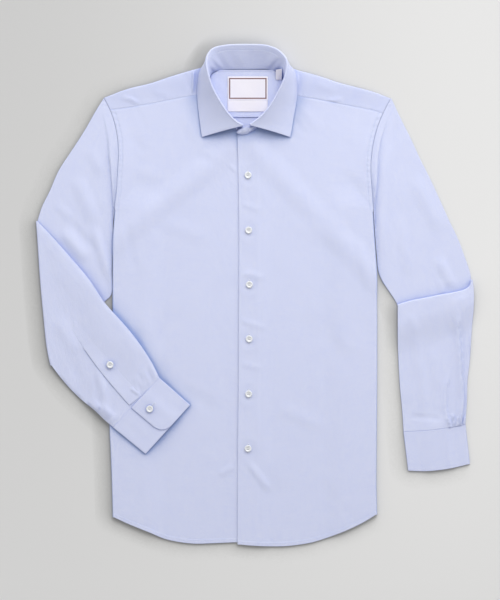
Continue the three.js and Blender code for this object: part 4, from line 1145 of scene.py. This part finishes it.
def makeLabel(name):
    size = labels[name]
    (left, right), (low, high) = size["x"], size["y"]
    corner = size.get("z") or (labels["level"],) * 4
    g, f = np.meshgrid(np.linspace(0, 1, 19), np.linspace(0, 1, 27), indexing="ij")
    x, y = mix(left, right, f), mix(low, high, g)
    z = mix(mix(corner[0], corner[1], f), mix(corner[2], corner[3], f), g)
    if "z" not in size:
        fromEnd = np.minimum(x - left, right - x)
        z = z + 0.15 * np.sin(x / 7.0 + 1.0) * np.sin(y / 6.0) - 0.12 * ease(1 - fromEnd / 2.5)
    width, height = right - left, high - low
    material = wovenLabel(name + "Cloth", width, height, size["border"])
    surface = clothPiece(name, np.stack([x, y, z], -1), material, labels["wall"], rim=2)
    if "z" not in size:
        for edge in ("start", "end"):
            stitch(lineIn(surface, edge, 1.1, (1, 1)), "label", 1.8, 1.2, 0.12, labels["wall"] / 2, True)


for name in ("label_main", "label_lower", "size_tab"):
    makeLabel(name)
print("labels made")

# Sleeves: each is a flattened tube, folded. A leg is a stretch between two folds.

sleeve = {
    "tuckStep": 1.1,
    "turns": 9,
    "swell": 2.4,
}
tuckLine = readTable("y right left", [  # how far from the armhole seam the tuck's fold lies
    [138, 0, 0], [150, 1.6, 0.8], [165, 4.4, 4], [197, 9, 9], [230, 13.7, 10], [262, 15, 10.2],
    [280, 14.2, 10.8], [295, 12.2, 9], [308, 7.5, 5.5], [316, 3, 2.5], [323, 0, 0],
])
viewUp, viewDown, viewLeft = np.array([0.0, 1.0]), np.array([0.0, -1.0]), np.array([-1.0, 0.0])


def tubeColumns():
    top = spaced(0, 0.008, 0.06, 0.021, 0.94, 0.008, 1)
    under = spaced(1, 0.045, 0)
    around = halfTurn(4)
    w = np.concatenate([top, np.ones(len(around)), under, np.zeros(len(around))])
    q = np.concatenate([np.ones(len(top)), 0.5 + 0.5 * np.cos(around), np.zeros(len(under)),
                        0.5 - 0.5 * np.cos(around)])
    bulge = np.concatenate([np.zeros(len(top)), np.sin(around), np.zeros(len(under)), np.sin(around)])
    return w, q, bulge


tubeW, tubeQ, tubeBulge = tubeColumns()


def creaseNormal(line, w, towards):
    along = line(np.minimum(1, w + 0.05)) - line(np.maximum(0, w - 0.05))
    across = unit(np.stack([-along[..., 1], along[..., 0]], -1))
    return np.where((across @ towards)[..., None] < 0, -across, across)


def coons(leg, s, w):
    s3, w3 = s[..., None], w[..., None]
    p = leg["inner"](s) * (1 - w3) + leg["outer"](s) * w3
    p = p + leg["start"](w) * (1 - s3) + leg["end"](w) * s3
    start, end = ([leg[name](np.array(k)) for k in (0.0, 1.0)] for name in ("start", "end"))
    p = p - (1 - s3) * (1 - w3) * start[0] - (1 - s3) * w3 * start[1]
    return p - s3 * (1 - w3) * end[0] - s3 * w3 * end[1]


def legPlan(leg, s):
    s = s[:, None] + 0 * tubeW[None, :]
    width = np.linalg.norm(leg["inner"](s[:, 0]) - leg["outer"](s[:, 0]), axis=1)[:, None]
    inset = (cloth["wall"] / 2 + cloth["pitch"] / 2 * (1 - tubeBulge)) / width
    w = mix(inset, 1 - inset, tubeW)
    p = coons(leg, s, w)
    for end, near in (("start", 1 - s / 0.4), ("end", (s - 0.6) / 0.4)):
        if end + "Turn" in leg:
            p = p - creaseNormal(leg[end], w, leg[end + "Turn"]) * (foldInset * ease(near))[..., None]
    return p, s


def legHeight(leg, p, s):
    q = 1 - tubeQ if leg.get("flip") else tubeQ
    return layer(leg["level"] + q) + leg["lift"](p[..., 0], p[..., 1], s)


def sleeveGrid(legs):
    blocks = []
    for k, leg in enumerate(legs):
        p, s = legPlan(leg, leg["rows"])
        z = legHeight(leg, p, s)
        blocks.append(raised(p, z))
        if k + 1 == len(legs):
            break
        after = legs[k + 1]
        p, s = legPlan(leg, np.array([1.0]))
        low = legHeight(leg, p, s)
        pNext, sNext = legPlan(after, np.array([0.0]))
        radius = (legHeight(after, pNext, sNext) - low) / 2
        turn = halfTurn(sleeve["turns"])[:, None]
        out = creaseNormal(leg["end"], tubeW[None, :], leg["endTurn"])
        bent = p + out * (radius * np.sin(turn))[..., None]
        blocks.append(raised(bent, low + radius * (1 - np.cos(turn))))
    return np.concatenate(blocks)


def armholeLine(side):
    def line(w):
        y = mix(body["underarmY"] + 1, 322.5, w)
        return np.stack([sideOutline[side](y) - inward[side] * cloth["seamGap"] / 2, y], -1)
    return line


sleeveCreases = {
    "rightUpperArm": [
        ([(-312, 105), (-275, 60)], 15, 2.6),
        ([(-262, 110), (-238, 35)], 13, 2.2),
        ([(-290, 190), (-262, 120)], 18, 1.8),
        ([(-298, 118), (-262, 74)], 10, -0.9),
        ([(-325, 150), (-300, 128)], 12, 0.8),
        ([(-270, 240), (-250, 200)], 14, 0.8),
        ([(-284, 30), (-262, -8)], 13, 1.0),
    ],
    "rightForearm": [
        ([(-268, -175), (-224, -200)], 9, 2.0),
        ([(-248, -140), (-240, -190)], 10, 1.8),
        ([(-320, -40), (-292, -90)], 16, 1.6),
        ([(-345, 90), (-300, 40), (-262, 0)], 10, 0.8),
        ([(-256, -124), (-246, -150), (-248, -170)], 7, 1.3),
        ([(-262, -128), (-258, -160)], 6, -0.9),
        ([(-161, -134), (-170, -112)], 4.5, 1.7),
        ([(-170, -142), (-183, -122)], 4.5, 1.6),
        ([(-178, -150), (-196, -132)], 5, 1.4),
        ([(-188, -160), (-202, -150)], 5, 1.2),
        ([(-166, -138), (-176, -119)], 3.5, -1.0),
        ([(-240, -186), (-252, -174)], 4, 1.0),
        ([(-300, -110), (-282, -140)], 12, -0.8),
        ([(-215, -60), (-190, -100)], 10, 0.8),
    ],
    "rightForearmPleats": [
        ([(-232, -207), (-240, -192), (-247, -184.7), (-257, -182), (-270, -177)], 8, 2.2),
    ],
    "leftUpperArm": [
        ([(212, 250), (205, 60)], 14, 2.4),
        ([(300, 60), (322, 12)], 14, 2.0),
        ([(262, 190), (300, 110)], 20, 1.8),
        ([(301, 26), (306, 2)], 8, 0.9),
        ([(318, 23), (315, 5)], 7, -0.7),
        ([(238, 120), (250, 40)], 14, 0.8),
        ([(228, 280), (222, 240)], 8, -0.8),
    ],
    "leftForearm": [
        ([(262, -60), (276, -190)], 16, 1.4),
        ([(333, 12), (334, -58)], 26, 1.5),
        ([(252, -30), (262, -60)], 12, 0.8),
        ([(290, -90), (296, -150)], 14, 0.7),
        ([(256, -196), (300, -200)], 8, -0.6),
    ],
    "leftForearmPleats": [
        ([(331, -31), (335, -88), (338, -137), (340, -170), (336, -206)], 12, 3.2),
        ([(317, -129), (312, -150), (311, -178), (315, -197), (322, -214)], 10, 1.6),
        ([(347, -206), (349, -170), (350, -120), (351, -70)], 5, 0.9),
        ([(314, -198), (318, -215)], 3.5, 1.9),
        ([(322, -192), (325, -213)], 3.5, 2.2),
        ([(331, -196), (329, -212)], 3, 2.0),
        ([(339, -190), (334, -210)], 3.5, 2.3),
        ([(341, -197), (340, -209)], 2.6, 1.6),
    ],
}
sleeveCreases["rightUpperArm"] += faintCreases(21, 40, (-355, -100, -230, 315), 60, 0.38)
sleeveCreases["rightForearm"] += faintCreases(22, 40, (-350, -200, -160, 110), 125, 0.34)
sleeveCreases["leftUpperArm"] += faintCreases(23, 40, (195, -30, 350, 315), 110, 0.38)
sleeveCreases["leftForearm"] += faintCreases(24, 36, (236, -215, 355, 10), 90, 0.34)


def upperArmLift(side):
    group = f"{side}UpperArm"

    def lift(x, y, s):
        away = -insideBy(side, x, y)
        width = tuckLine[side](y) + 1
        tucked = 2 * cloth["pitch"] * armholeLift(y) * (1 - ease((away - width) / sleeve["tuckStep"]))
        soft = creased(sleeveCreases[group], x, y) * ease(away / 10) * ease((1 - s) / 0.06)
        soft = soft - body["seamGroove"] * ease(1 - away / 2.0)
        soft = soft + stitchedEdge(away - 3, y, 7.5, 0.25)
        share = np.where(tubeQ == 1, 1.0, tubeQ)
        return share * tucked + np.where(tubeQ == 1, soft, 0)

    return lift


def rightForearmLift(x, y):
    inside = insideBy("right", x, y)
    climb = ease((inside + 60) / 46)
    overBody = climb * ease((122 - inside) / 52)
    innerCorner, elbow = np.array([-244.5, -10.3]), np.array([-333.3, -114.9])
    edge = unit(elbow - innerCorner)
    pastArm = (x - innerCorner[0]) * edge[1] - (y - innerCorner[1]) * edge[0]
    offArm = ease((-pastArm - 6) / 40)
    return 2 * cloth["pitch"] * overBody - 1.6 * offArm * (1 - climb)


def rightForearmRelief(x, y):
    return (creased(sleeveCreases["rightForearm"], x, y)
            + pleated(sleeveCreases["rightForearmPleats"], x, y))


def forearmSwell(s):
    return sleeve["swell"] * ease((tubeW - 0.5) / 0.35) * ease(s / 0.25) * ease((0.97 - s) / 0.2)


rightCreaseLine = planLine([[-333.6, -114.0], [-339.7, -83.1], [-344.7, -35.9],
                            [-350.4, 26.1], [-354.2, 83.1], [-357.0, 122.0]])
rightCuffSeam = planLine([[-231.5, -213.0], [-200.5, -181.0], [-155.7, -132.6]])
leftHiddenCrease = planLine([[240, -38], [277.1, -23], [317.8, -6], [355.2, 9]])
leftCreaseLine = planLine([[231, -13.5], [252.6, -7], [280.4, -1.6], [301.5, 2.8],
                           [326, 7.2], [340.4, 11.2], [348, 16.6], [351.4, 27]])
leftCuffSeam = planLine([[241.7, -220.6], [268.9, -219.6], [301.5, -216.4], [326, -212.5],
                         [343, -209.2]])


def armRows(length):
    return spaced(0, cloth["fine"], 20, cloth["plain"], length) / length


rightLegs = [
    {
        "inner": planLine([[-229.6, 139], [-231.2, 122], [-232.2, 91.3], [-233.6, 42.4], [-234.2, 2],
                           [-245.5, -10.3], [-285.2, -61.9], [-333.6, -114.0]]),
        "outer": planLine([[-246.6, 322.5], [-259.5, 302], [-277.6, 270], [-298.6, 237.5],
                           [-319.6, 205], [-334.6, 172.8], [-349.6, 144.3], [-357, 122]]),
        "start": armholeLine("right"), "end": rightCreaseLine, "endTurn": viewLeft,
        "rows": armRows(230), "level": 0, "lift": upperArmLift("right"),
    },
    {
        "inner": planLine([[-333.6, -114.0], [-321.1, -129.6], [-299.1, -153.2], [-282, -169.5],
                           [-261, -186.3], [-244.5, -202.1], [-231.5, -213.0]]),
        "outer": planLine([[-357, 122], [-334.1, 98.6], [-301.5, 63.6], [-272.2, 30.2], [-244.5, -10.3],
                           [-223.3, -34.2], [-203.8, -56.2], [-184.2, -82.3], [-166.3, -110.8],
                           [-155.7, -132.6]]),
        "start": rightCreaseLine, "end": rightCuffSeam, "startTurn": viewLeft,
        "rows": spaced(0, cloth["plain"], 230, 1.2, 262) / 262, "level": 2, "flip": True,
        "lift": lambda x, y, s: rightForearmLift(x, y) + (1 - tubeQ) * forearmSwell(s)
        + np.where(tubeQ == 0, rightForearmRelief(x, y) * ease(s / 0.05), 0),
    },
]


clothPiece("right_sleeve", sleeveGrid(rightLegs), shirting, ring=True, rim=2)


def cuffHump(w):
    return ease((w - 0.2) / 0.18) * ease((0.84 - w) / 0.18)


def leftForearmLift(x, y, s):
    wedge = np.linalg.norm(leftHiddenCrease(tubeW) - leftCreaseLine(tubeW), axis=-1)
    run = s * np.linalg.norm(leftCreaseLine(tubeW) - leftCuffSeam(tubeW), axis=-1)
    down = ease((run - wedge - 4) / 60)
    relief = creased(sleeveCreases["leftForearm"], x, y)
    relief = relief + pleated(sleeveCreases["leftForearmPleats"], x, y)
    ontoCuff = cloth["pitch"] * ease((s - 0.85) / 0.15) * cuffHump(tubeW)
    return -4 * cloth["pitch"] * down + np.where(tubeQ == 1, relief * ease(s / 0.06) + ontoCuff, 0)


leftLegs = [
    {
        "inner": planLine([[193.2, 139], [195.3, 104.3], [198.2, 66.8], [200.6, 40.8], [207, 24.4],
                           [216.3, 9.8], [231, -13.5], [240, -38]]),
        "outer": planLine([[222, 322.5], [236.3, 291.8], [253.5, 257.5], [270.1, 221.7], [286.6, 189.1],
                           [301.5, 156.5], [316.2, 123.9], [331.7, 91.3], [343.8, 58.7], [351.8, 34.2],
                           [355.2, 9]]),
        "start": armholeLine("left"), "end": leftHiddenCrease, "endTurn": viewDown,
        "rows": armRows(300), "level": 0, "lift": upperArmLift("left"),
    },
    {
        "inner": planLine([[240, -38], [235.5, -26], [231, -13.5]]),
        "outer": planLine([[355.2, 9], [353.6, 17], [351.4, 27]]),
        "start": leftHiddenCrease, "end": leftCreaseLine, "startTurn": viewDown, "endTurn": viewUp,
        "rows": np.linspace(0, 1, 7), "level": 2, "flip": True, "lift": lambda x, y, s: 0 * x,
    },
    {
        "inner": planLine([[231, -13.5], [231.5, -55.4], [233.3, -104.3], [236, -150], [239.4, -185.8],
                           [241.7, -220.6]]),
        "outer": planLine([[351.4, 27], [353.4, 11], [354.4, -6], [354.4, -26.1], [353.0, -55.4],
                           [350.2, -101.1], [346.5, -136.9], [345.6, -169.5], [343, -209.2]]),
        "start": leftCreaseLine, "end": leftCuffSeam, "startTurn": viewUp,
        "rows": spaced(0, cloth["plain"], 190, 1.2, 220) / 220, "level": 4, "lift": leftForearmLift,
    },
]
clothPiece("left_sleeve", sleeveGrid(leftLegs), shirting, ring=True, rim=2)
print("sleeves made")

# Cuffs: bands round the wrist whose ends lap

cuff = {
    "wall": 0.95,
    "solidWall": 1.1,
    "corner": 0.28,
    "stitchIn": 4.8,
    "underlap": (0.62, 0.03, 0),  # where the columns of each layer start, their step and their end
    "plain": (0, 0.02, 1),
    "overlap": (1, 0.022, 0.4),
    "turns": 5,
}


def cuffPath(layers):
    underW, plainW, overW = (spaced(*cuff[name]) for name in ("underlap", "plain", "overlap"))
    turn = halfTurn(cuff["turns"])
    parts = [(underW, layers["underlap"](underW) + 0 * underW, 0 * underW, False)]

    def bend(w, before, after):
        middle, half = (before + after) / 2, (after - before) / 2
        return (np.full(len(turn), w), middle - half * np.cos(turn), abs(half) * np.sin(turn), False)

    plainN, overN = layers["plain"](plainW) + 0 * plainW, layers["overlap"](overW) + 0 * overW
    parts.append(bend(0.0, parts[0][1][-1], plainN[0]))
    parts.append((plainW, plainN, 0 * plainW, False))
    parts.append(bend(1.0, plainN[-1], overN[0]))
    parts.append((overW, overN, 0 * overW, True))
    w, n, bulge = (np.concatenate([part[k] for part in parts]) for k in range(3))
    rounded = np.concatenate([np.full(len(part[0]), part[3]) for part in parts])
    return w, n, bulge, rounded


def makeCuff(name, seam, hem, layers, lift, showFrom, showTo):
    w, n, bulge, rounded = cuffPath(layers)
    width = np.linalg.norm(seam(np.array(0.0)) - seam(np.array(1.0)))
    inset = (cloth["wall"] / 2 + cloth["pitch"] / 2) / width
    across = np.where(w == 0, inset - bulge * cloth["pitch"] / width,
                      np.where(w == 1, 1 - inset + bulge * cloth["pitch"] / width, w))
    near = np.where(rounded, np.clip((w - 0.4) / 0.19, 0, 1), 1)
    depth = 1 - cuff["corner"] * (1 - np.sqrt(1 - (1 - near) ** 2))
    r = spaced(0, 0.022, 0.12, 0.035, 0.9, 0.02, 1)[:, None]
    p = mix(seam(across)[None], hem(across)[None], (r * depth)[..., None])
    z = layer(n)[None] + (cuff["solidWall"] - cloth["wall"]) / 2 + lift(p[..., 0], p[..., 1])
    z = z + 0.12 * np.sin(across * 31.0)[None] * np.sin(math.pi * r)
    surface = clothPiece(name, raised(p, z), collarCloth, cuff["wall"], rim=5)
    shown = surface[:, showFrom:showTo]
    stitchIn = cuff["stitchIn"]
    rows = [("top", stitchIn, (2, stitchIn)), ("bottom", 1.6, (2, 2))]
    if not showTo:
        rows.append(("end", stitchIn, (2, stitchIn)))
    for row in rows:
        stitch(lineIn(shown, *row), lift=cuff["wall"] / 2, upward=True)


def bandLine(start, end):
    a, b = np.array(start, float), np.array(end, float)
    return lambda w: mix(a, b, np.asarray(w, float)[..., None])


underCount = len(spaced(*cuff["underlap"])) + cuff["turns"]
plainCount = len(spaced(*cuff["plain"]))
makeCuff(
    "right_cuff", bandLine([-231.0, -213.8], [-155.2, -133.3]), bandLine([-178.5, -256.7], [-105.9, -176.9]),
    {"underlap": lambda w: 3.0, "plain": lambda w: 2.0, "overlap": lambda w: 3 + ease((0.86 - w) / 0.2)},
    rightForearmLift, underCount + plainCount + cuff["turns"], None)
leftHem = planLine([[249.4, -284.1], [277.1, -284.9], [301.5, -282.8], [326, -278.7], [350.1, -273]])
makeCuff(
    "left_cuff", lambda w: leftCuffSeam(w) + np.array([0, -0.8]), leftHem,
    {"underlap": lambda w: ease((w - 0.2) / 0.18), "plain": lambda w: 1 + cuffHump(w),
     "overlap": lambda w: 0.0},
    lambda x, y: 0 * x, underCount, underCount + plainCount)
print("cuffs made")

# The placket band along the slit of the right sleeve, with its pointed tower

placket = {
    "foot": np.array([-201.6, -180.2]),
    "top": np.array([-297.5, -58.0]),
    "width": 25.5,
    "tower": 14,
    "bow": 3.2,
    "shell": 0.5,
    "slitRaise": 1.05,  # the free edge along the slit stands up, the sewn one lies down
    "sewnRaise": 0.34,
    "slitTop": 128,  # up from the cuff, where the slit ends and the band is sewn down all round
    "stitchIn": 1.8,
}


def makePlacket():
    run = placket["top"] - placket["foot"]
    length = np.linalg.norm(run)
    along = run / length
    across = np.array([along[1], -along[0]])
    f = np.linspace(0, 1, 21)[None, :]
    tower = placket["tower"] * (1 - np.abs(2 * f - 1))
    straight = spaced(4, 1.6, length - 8)[:, None] + 0 * f
    point = mix(length - 8, length + tower, np.linspace(0, 1, 13)[1:, None])
    at = np.concatenate([straight, point])
    bow = placket["bow"] * np.sin(math.pi * np.clip(at / length, 0, 1))
    p = placket["foot"] + along * at[..., None] + across * (f * placket["width"] - bow)[..., None]
    x, y = p[..., 0], p[..., 1]
    z = layer(3) + rightForearmLift(x, y) + rightForearmRelief(x, y)
    free = ease((placket["slitTop"] - at) / 16) * ease((0.8 - f) / 0.8)
    fromRim = np.minimum(np.minimum(1 - f, f + 4 * free) * placket["width"], length + tower - at)
    z = z + mix(placket["sewnRaise"], placket["slitRaise"], free) - 0.36 * ease(1 - fromRim / 3.2)
    surface = clothPiece("right_sleeve_placket", raised(p, z), shirting, placket["shell"],
                         rim=3)
    for edge, cut in (("start", (2, 6)), ("end", (2, 6)), ("top", (1, 1))):
        stitch(lineIn(surface, edge, placket["stitchIn"], cut), upward=True)
    for boxFrom in (placket["slitTop"], placket["slitTop"] + 14):
        stitch(surface[np.argmax(at[:, 0] > boxFrom), 2:-2], upward=True)
    return surface


placketSurface = makePlacket()
print("placket made")

# Rows of stitching on the body

def flatPart(surface, columns):  # without its turned edges
    flat = [j for j, column in enumerate(columns) if column["part"] in ("main", "plain")]
    return surface[:, flat[0]:flat[-1] + 1]


for surface, columns in ((rightFront, rightFrontColumns), (leftFront, leftFrontColumns)):
    shown = flatPart(surface, columns)
    stitch(lineIn(shown, "bottom", sewing["hemIn"], (1, 1)), upward=True)
    stitch(lineIn(shown[shown.shape[0] * 4 // 5:], "start", body["topstitchIn"], (0, 4)), upward=True)
underSide = flatPart(back, backColumns).copy()
underSide[..., 3:] = np.where(underSide[..., 5:] > 0, -underSide[..., 3:], underSide[..., 3:])
stitch(lineIn(underSide, "bottom", sewing["hemIn"], (1, 1)), lift=0.05)
sew("stitching", "seam", seamThread)
sew("label_stitching", "label", whiteThread)

# Buttons: four holes, a raised rim, sewn on with parallel threads

button = {
    "radius": 5.7,
    "sides": 48,
    "holeRadius": 0.72,
    "holeAt": 1.15,
    "profile": [  # radius share, height
        (0.0, 0.1), (0.80, 0.0), (0.93, 0.3), (1.0, 0.85), (1.0, 1.25), (0.97, 1.8), (0.90, 2.25),
        (0.82, 2.38), (0.70, 2.25), (0.58, 1.9), (0.46, 1.55), (0.34, 1.45), (0.0, 1.45),
    ],
    "threadRadius": 0.17,
    "slitRadius": 0.17,
    "strands": (-0.28, 0.0, 0.28),
    "holeLength": 13.5,
    "satinOut": 0.75,  # from the slit to the middle of its stitches
    "satinHalf": 0.55,
    "satinStep": 0.5,
    "barHalf": 1.3,  # the bar across each end
}


def latheMesh(name, profile, radius, sides):
    rings = [(r * radius, h) for r, h in profile]
    points, faces = [(0, 0, rings[0][1])], []
    for r, h in rings[1:-1]:
        points += [(r * math.cos(2 * math.pi * k / sides), r * math.sin(2 * math.pi * k / sides), h)
                   for k in range(sides)]
    points.append((0, 0, rings[-1][1]))
    last = len(points) - 1
    for k in range(sides):
        k2 = (k + 1) % sides
        faces.append((0, 1 + k2, 1 + k))
        for ring in range(len(rings) - 3):
            a, b = 1 + ring * sides, 1 + (ring + 1) * sides
            faces.append((a + k, a + k2, b + k2, b + k))
        faces.append((last, last - sides + k, last - sides + k2))
    mesh = bpy.data.meshes.new(name)
    mesh.from_pydata([tuple(v * mm for v in p) for p in points], [], faces)
    return mesh


def buttonMesh():
    turned = latheMesh("blank", button["profile"], button["radius"], button["sides"])
    blank = addObject("blank", turned)
    drills = []
    for x, y in ((1, 1), (1, -1), (-1, 1), (-1, -1)):
        rod = latheMesh("drill", [(0, -1), (1, -1), (1, 4), (0, 4)], button["holeRadius"], 16)
        drill = addObject("drill", rod)
        drill.location = (x * button["holeAt"] * mm, y * button["holeAt"] * mm, 0)
        cut = blank.modifiers.new("hole", "BOOLEAN")
        cut.operation, cut.object, cut.solver = "DIFFERENCE", drill, "EXACT"
        drills.append(drill)
    bpy.context.view_layer.update()
    done = bpy.data.meshes.new_from_object(blank.evaluated_get(bpy.context.evaluated_depsgraph_get()))
    for o in (blank, *drills):
        bpy.data.objects.remove(o)
    done.shade_smooth()
    done.set_sharp_from_angle(angle=math.radians(40))
    done.materials.clear()
    done.materials.append(pearl)
    return done


buttonShape = buttonMesh()


def tube(points, radius, sides=6):
    p = np.array(points, float)
    along = unit(np.gradient(p, axis=0))
    side = unit(np.cross(along, np.array([0.3, 0.2, 1.0])))
    up = np.cross(side, along)
    around = [side * math.cos(q) + up * math.sin(q) for q in np.arange(sides) * 2 * math.pi / sides]
    rings = np.stack([p + radius * a for a in around], 1)
    faces = cellsOf(len(p), sides, ring=True).tolist()
    faces += [tuple(range(sides))[::-1], tuple((len(p) - 1) * sides + k for k in range(sides))]
    return rings.reshape(-1, 3), faces


buttonThreads = []


def placeButton(node, turn):
    low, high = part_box(node)
    piece = addObject(node + "_pearl", buttonShape.copy())
    c, s = math.cos(turn), math.sin(turn)
    rotation = np.array([[c, -s, 0], [s, c, 0], [0, 0, 1]])
    centre = np.array([(low.x + high.x) / 2, (low.y + high.y) / 2, low.z])
    points = np.zeros(3 * len(piece.data.vertices))
    piece.data.vertices.foreach_get("co", points)
    piece.data.vertices.foreach_set("co", (points.reshape(-1, 3) @ rotation.T + centre).ravel())
    at = button["holeAt"]
    for x in (-at, at):
        for strand in button["strands"]:
            half = [(0.5, -at, -0.3), (0.7, -at, 1.2), (1.0, -at + 0.25, 1.68)]
            bow = half + [(1.0, 0, 1.8)] + [(out, -y, z) for out, y, z in half[::-1]]
            points, faces = tube([(x + strand * out, y, z) for out, y, z in bow], button["threadRadius"])
            buttonThreads.append((points * mm @ rotation.T + centre, faces))
    settle(piece, node)


for n in range(len(frontButtons)):
    placeButton(f"front_button_{n + 1}", 0.12 * math.sin(2.7 * n))
placeButton("placket_button", math.radians(38))
placeButton("cuff_button", math.radians(-45))
settle(newObject("button_threads", *joined(buttonThreads), whiteThread))


# Buttonholes: satin stitches on both sides of a slit, with a near-black strip of painted shade in it

def buttonhole(x, y, angle, length, heightAt):
    way = np.array([math.cos(angle), math.sin(angle)])
    side = np.array([-way[1], way[0]])
    start, end = np.array([x, y]) - way * length / 2, np.array([x, y]) + way * length / 2
    up = np.array([0, 0, 1.0])

    def row(a, b, count, pitch, size, width):
        share = np.linspace(0, 1, count)[:, None]
        xy = mix(a, b, share)
        z = heightAt(xy[:, 0], xy[:, 1])[:, None]
        stitch(np.hstack([xy, z, np.tile(up, (count, 1))]), "button", pitch, size, width, 0.32)

    half, barHalf = side * button["satinHalf"], side * button["barHalf"]
    for offset in (-button["satinOut"], button["satinOut"]):
        for k in np.arange(0, length, button["satinStep"]):
            spot = start + way * k + side * offset
            row(spot - half, spot + half, 2, 1.1, 1.05, 0.24)
    for tip in (start, end):
        for k in (-0.3, 0.3):
            row(tip - barHalf + way * k, tip + barHalf + way * k, 3, 2.6, 2.5, 0.26)
    path = np.linspace(start + way * 0.4, end - way * 0.4, 9)
    slits.append(np.hstack([path, heightAt(path[:, 0], path[:, 1])[:, None] + 0.24]))


def frontLevel(x, y):
    inside = np.full(x.shape, 99.0)
    return frontHeight("left", x, y) + frontDetail("left", x, y, inside, inside)


def placketLevel(x, y):
    return layer(3) + rightForearmLift(x, y) + rightForearmRelief(x, y) + 0.7


def cuffLevel(x, y):
    return layer(4) + rightForearmLift(x, y) + 0.25


# Near-black strips of painted shade lie in the slits. The first slit is the sleeve's own, along the placket
slits = [placketSurface[placketSurface[:, 0, 1] < -84, 0, :3] + [-0.25, -0.2, -0.35]]
for x, y in frontButtons:
    buttonhole(x, y + 0.6, math.pi / 2, button["holeLength"], frontLevel)
buttonhole(-235.0, -111.0, math.radians(128), 12, placketLevel)
buttonhole(-167.2, -179.0, math.radians(48), button["holeLength"], cuffLevel)
sew("buttonhole_stitching", "button", seamThread)
slitPoints, slitFaces = joined([tube(path, button["slitRadius"]) for path in slits])
settle(newObject("buttonhole_slit_shade", slitPoints * mm + shift, slitFaces, slitShade))
print("buttons made")

print("done")
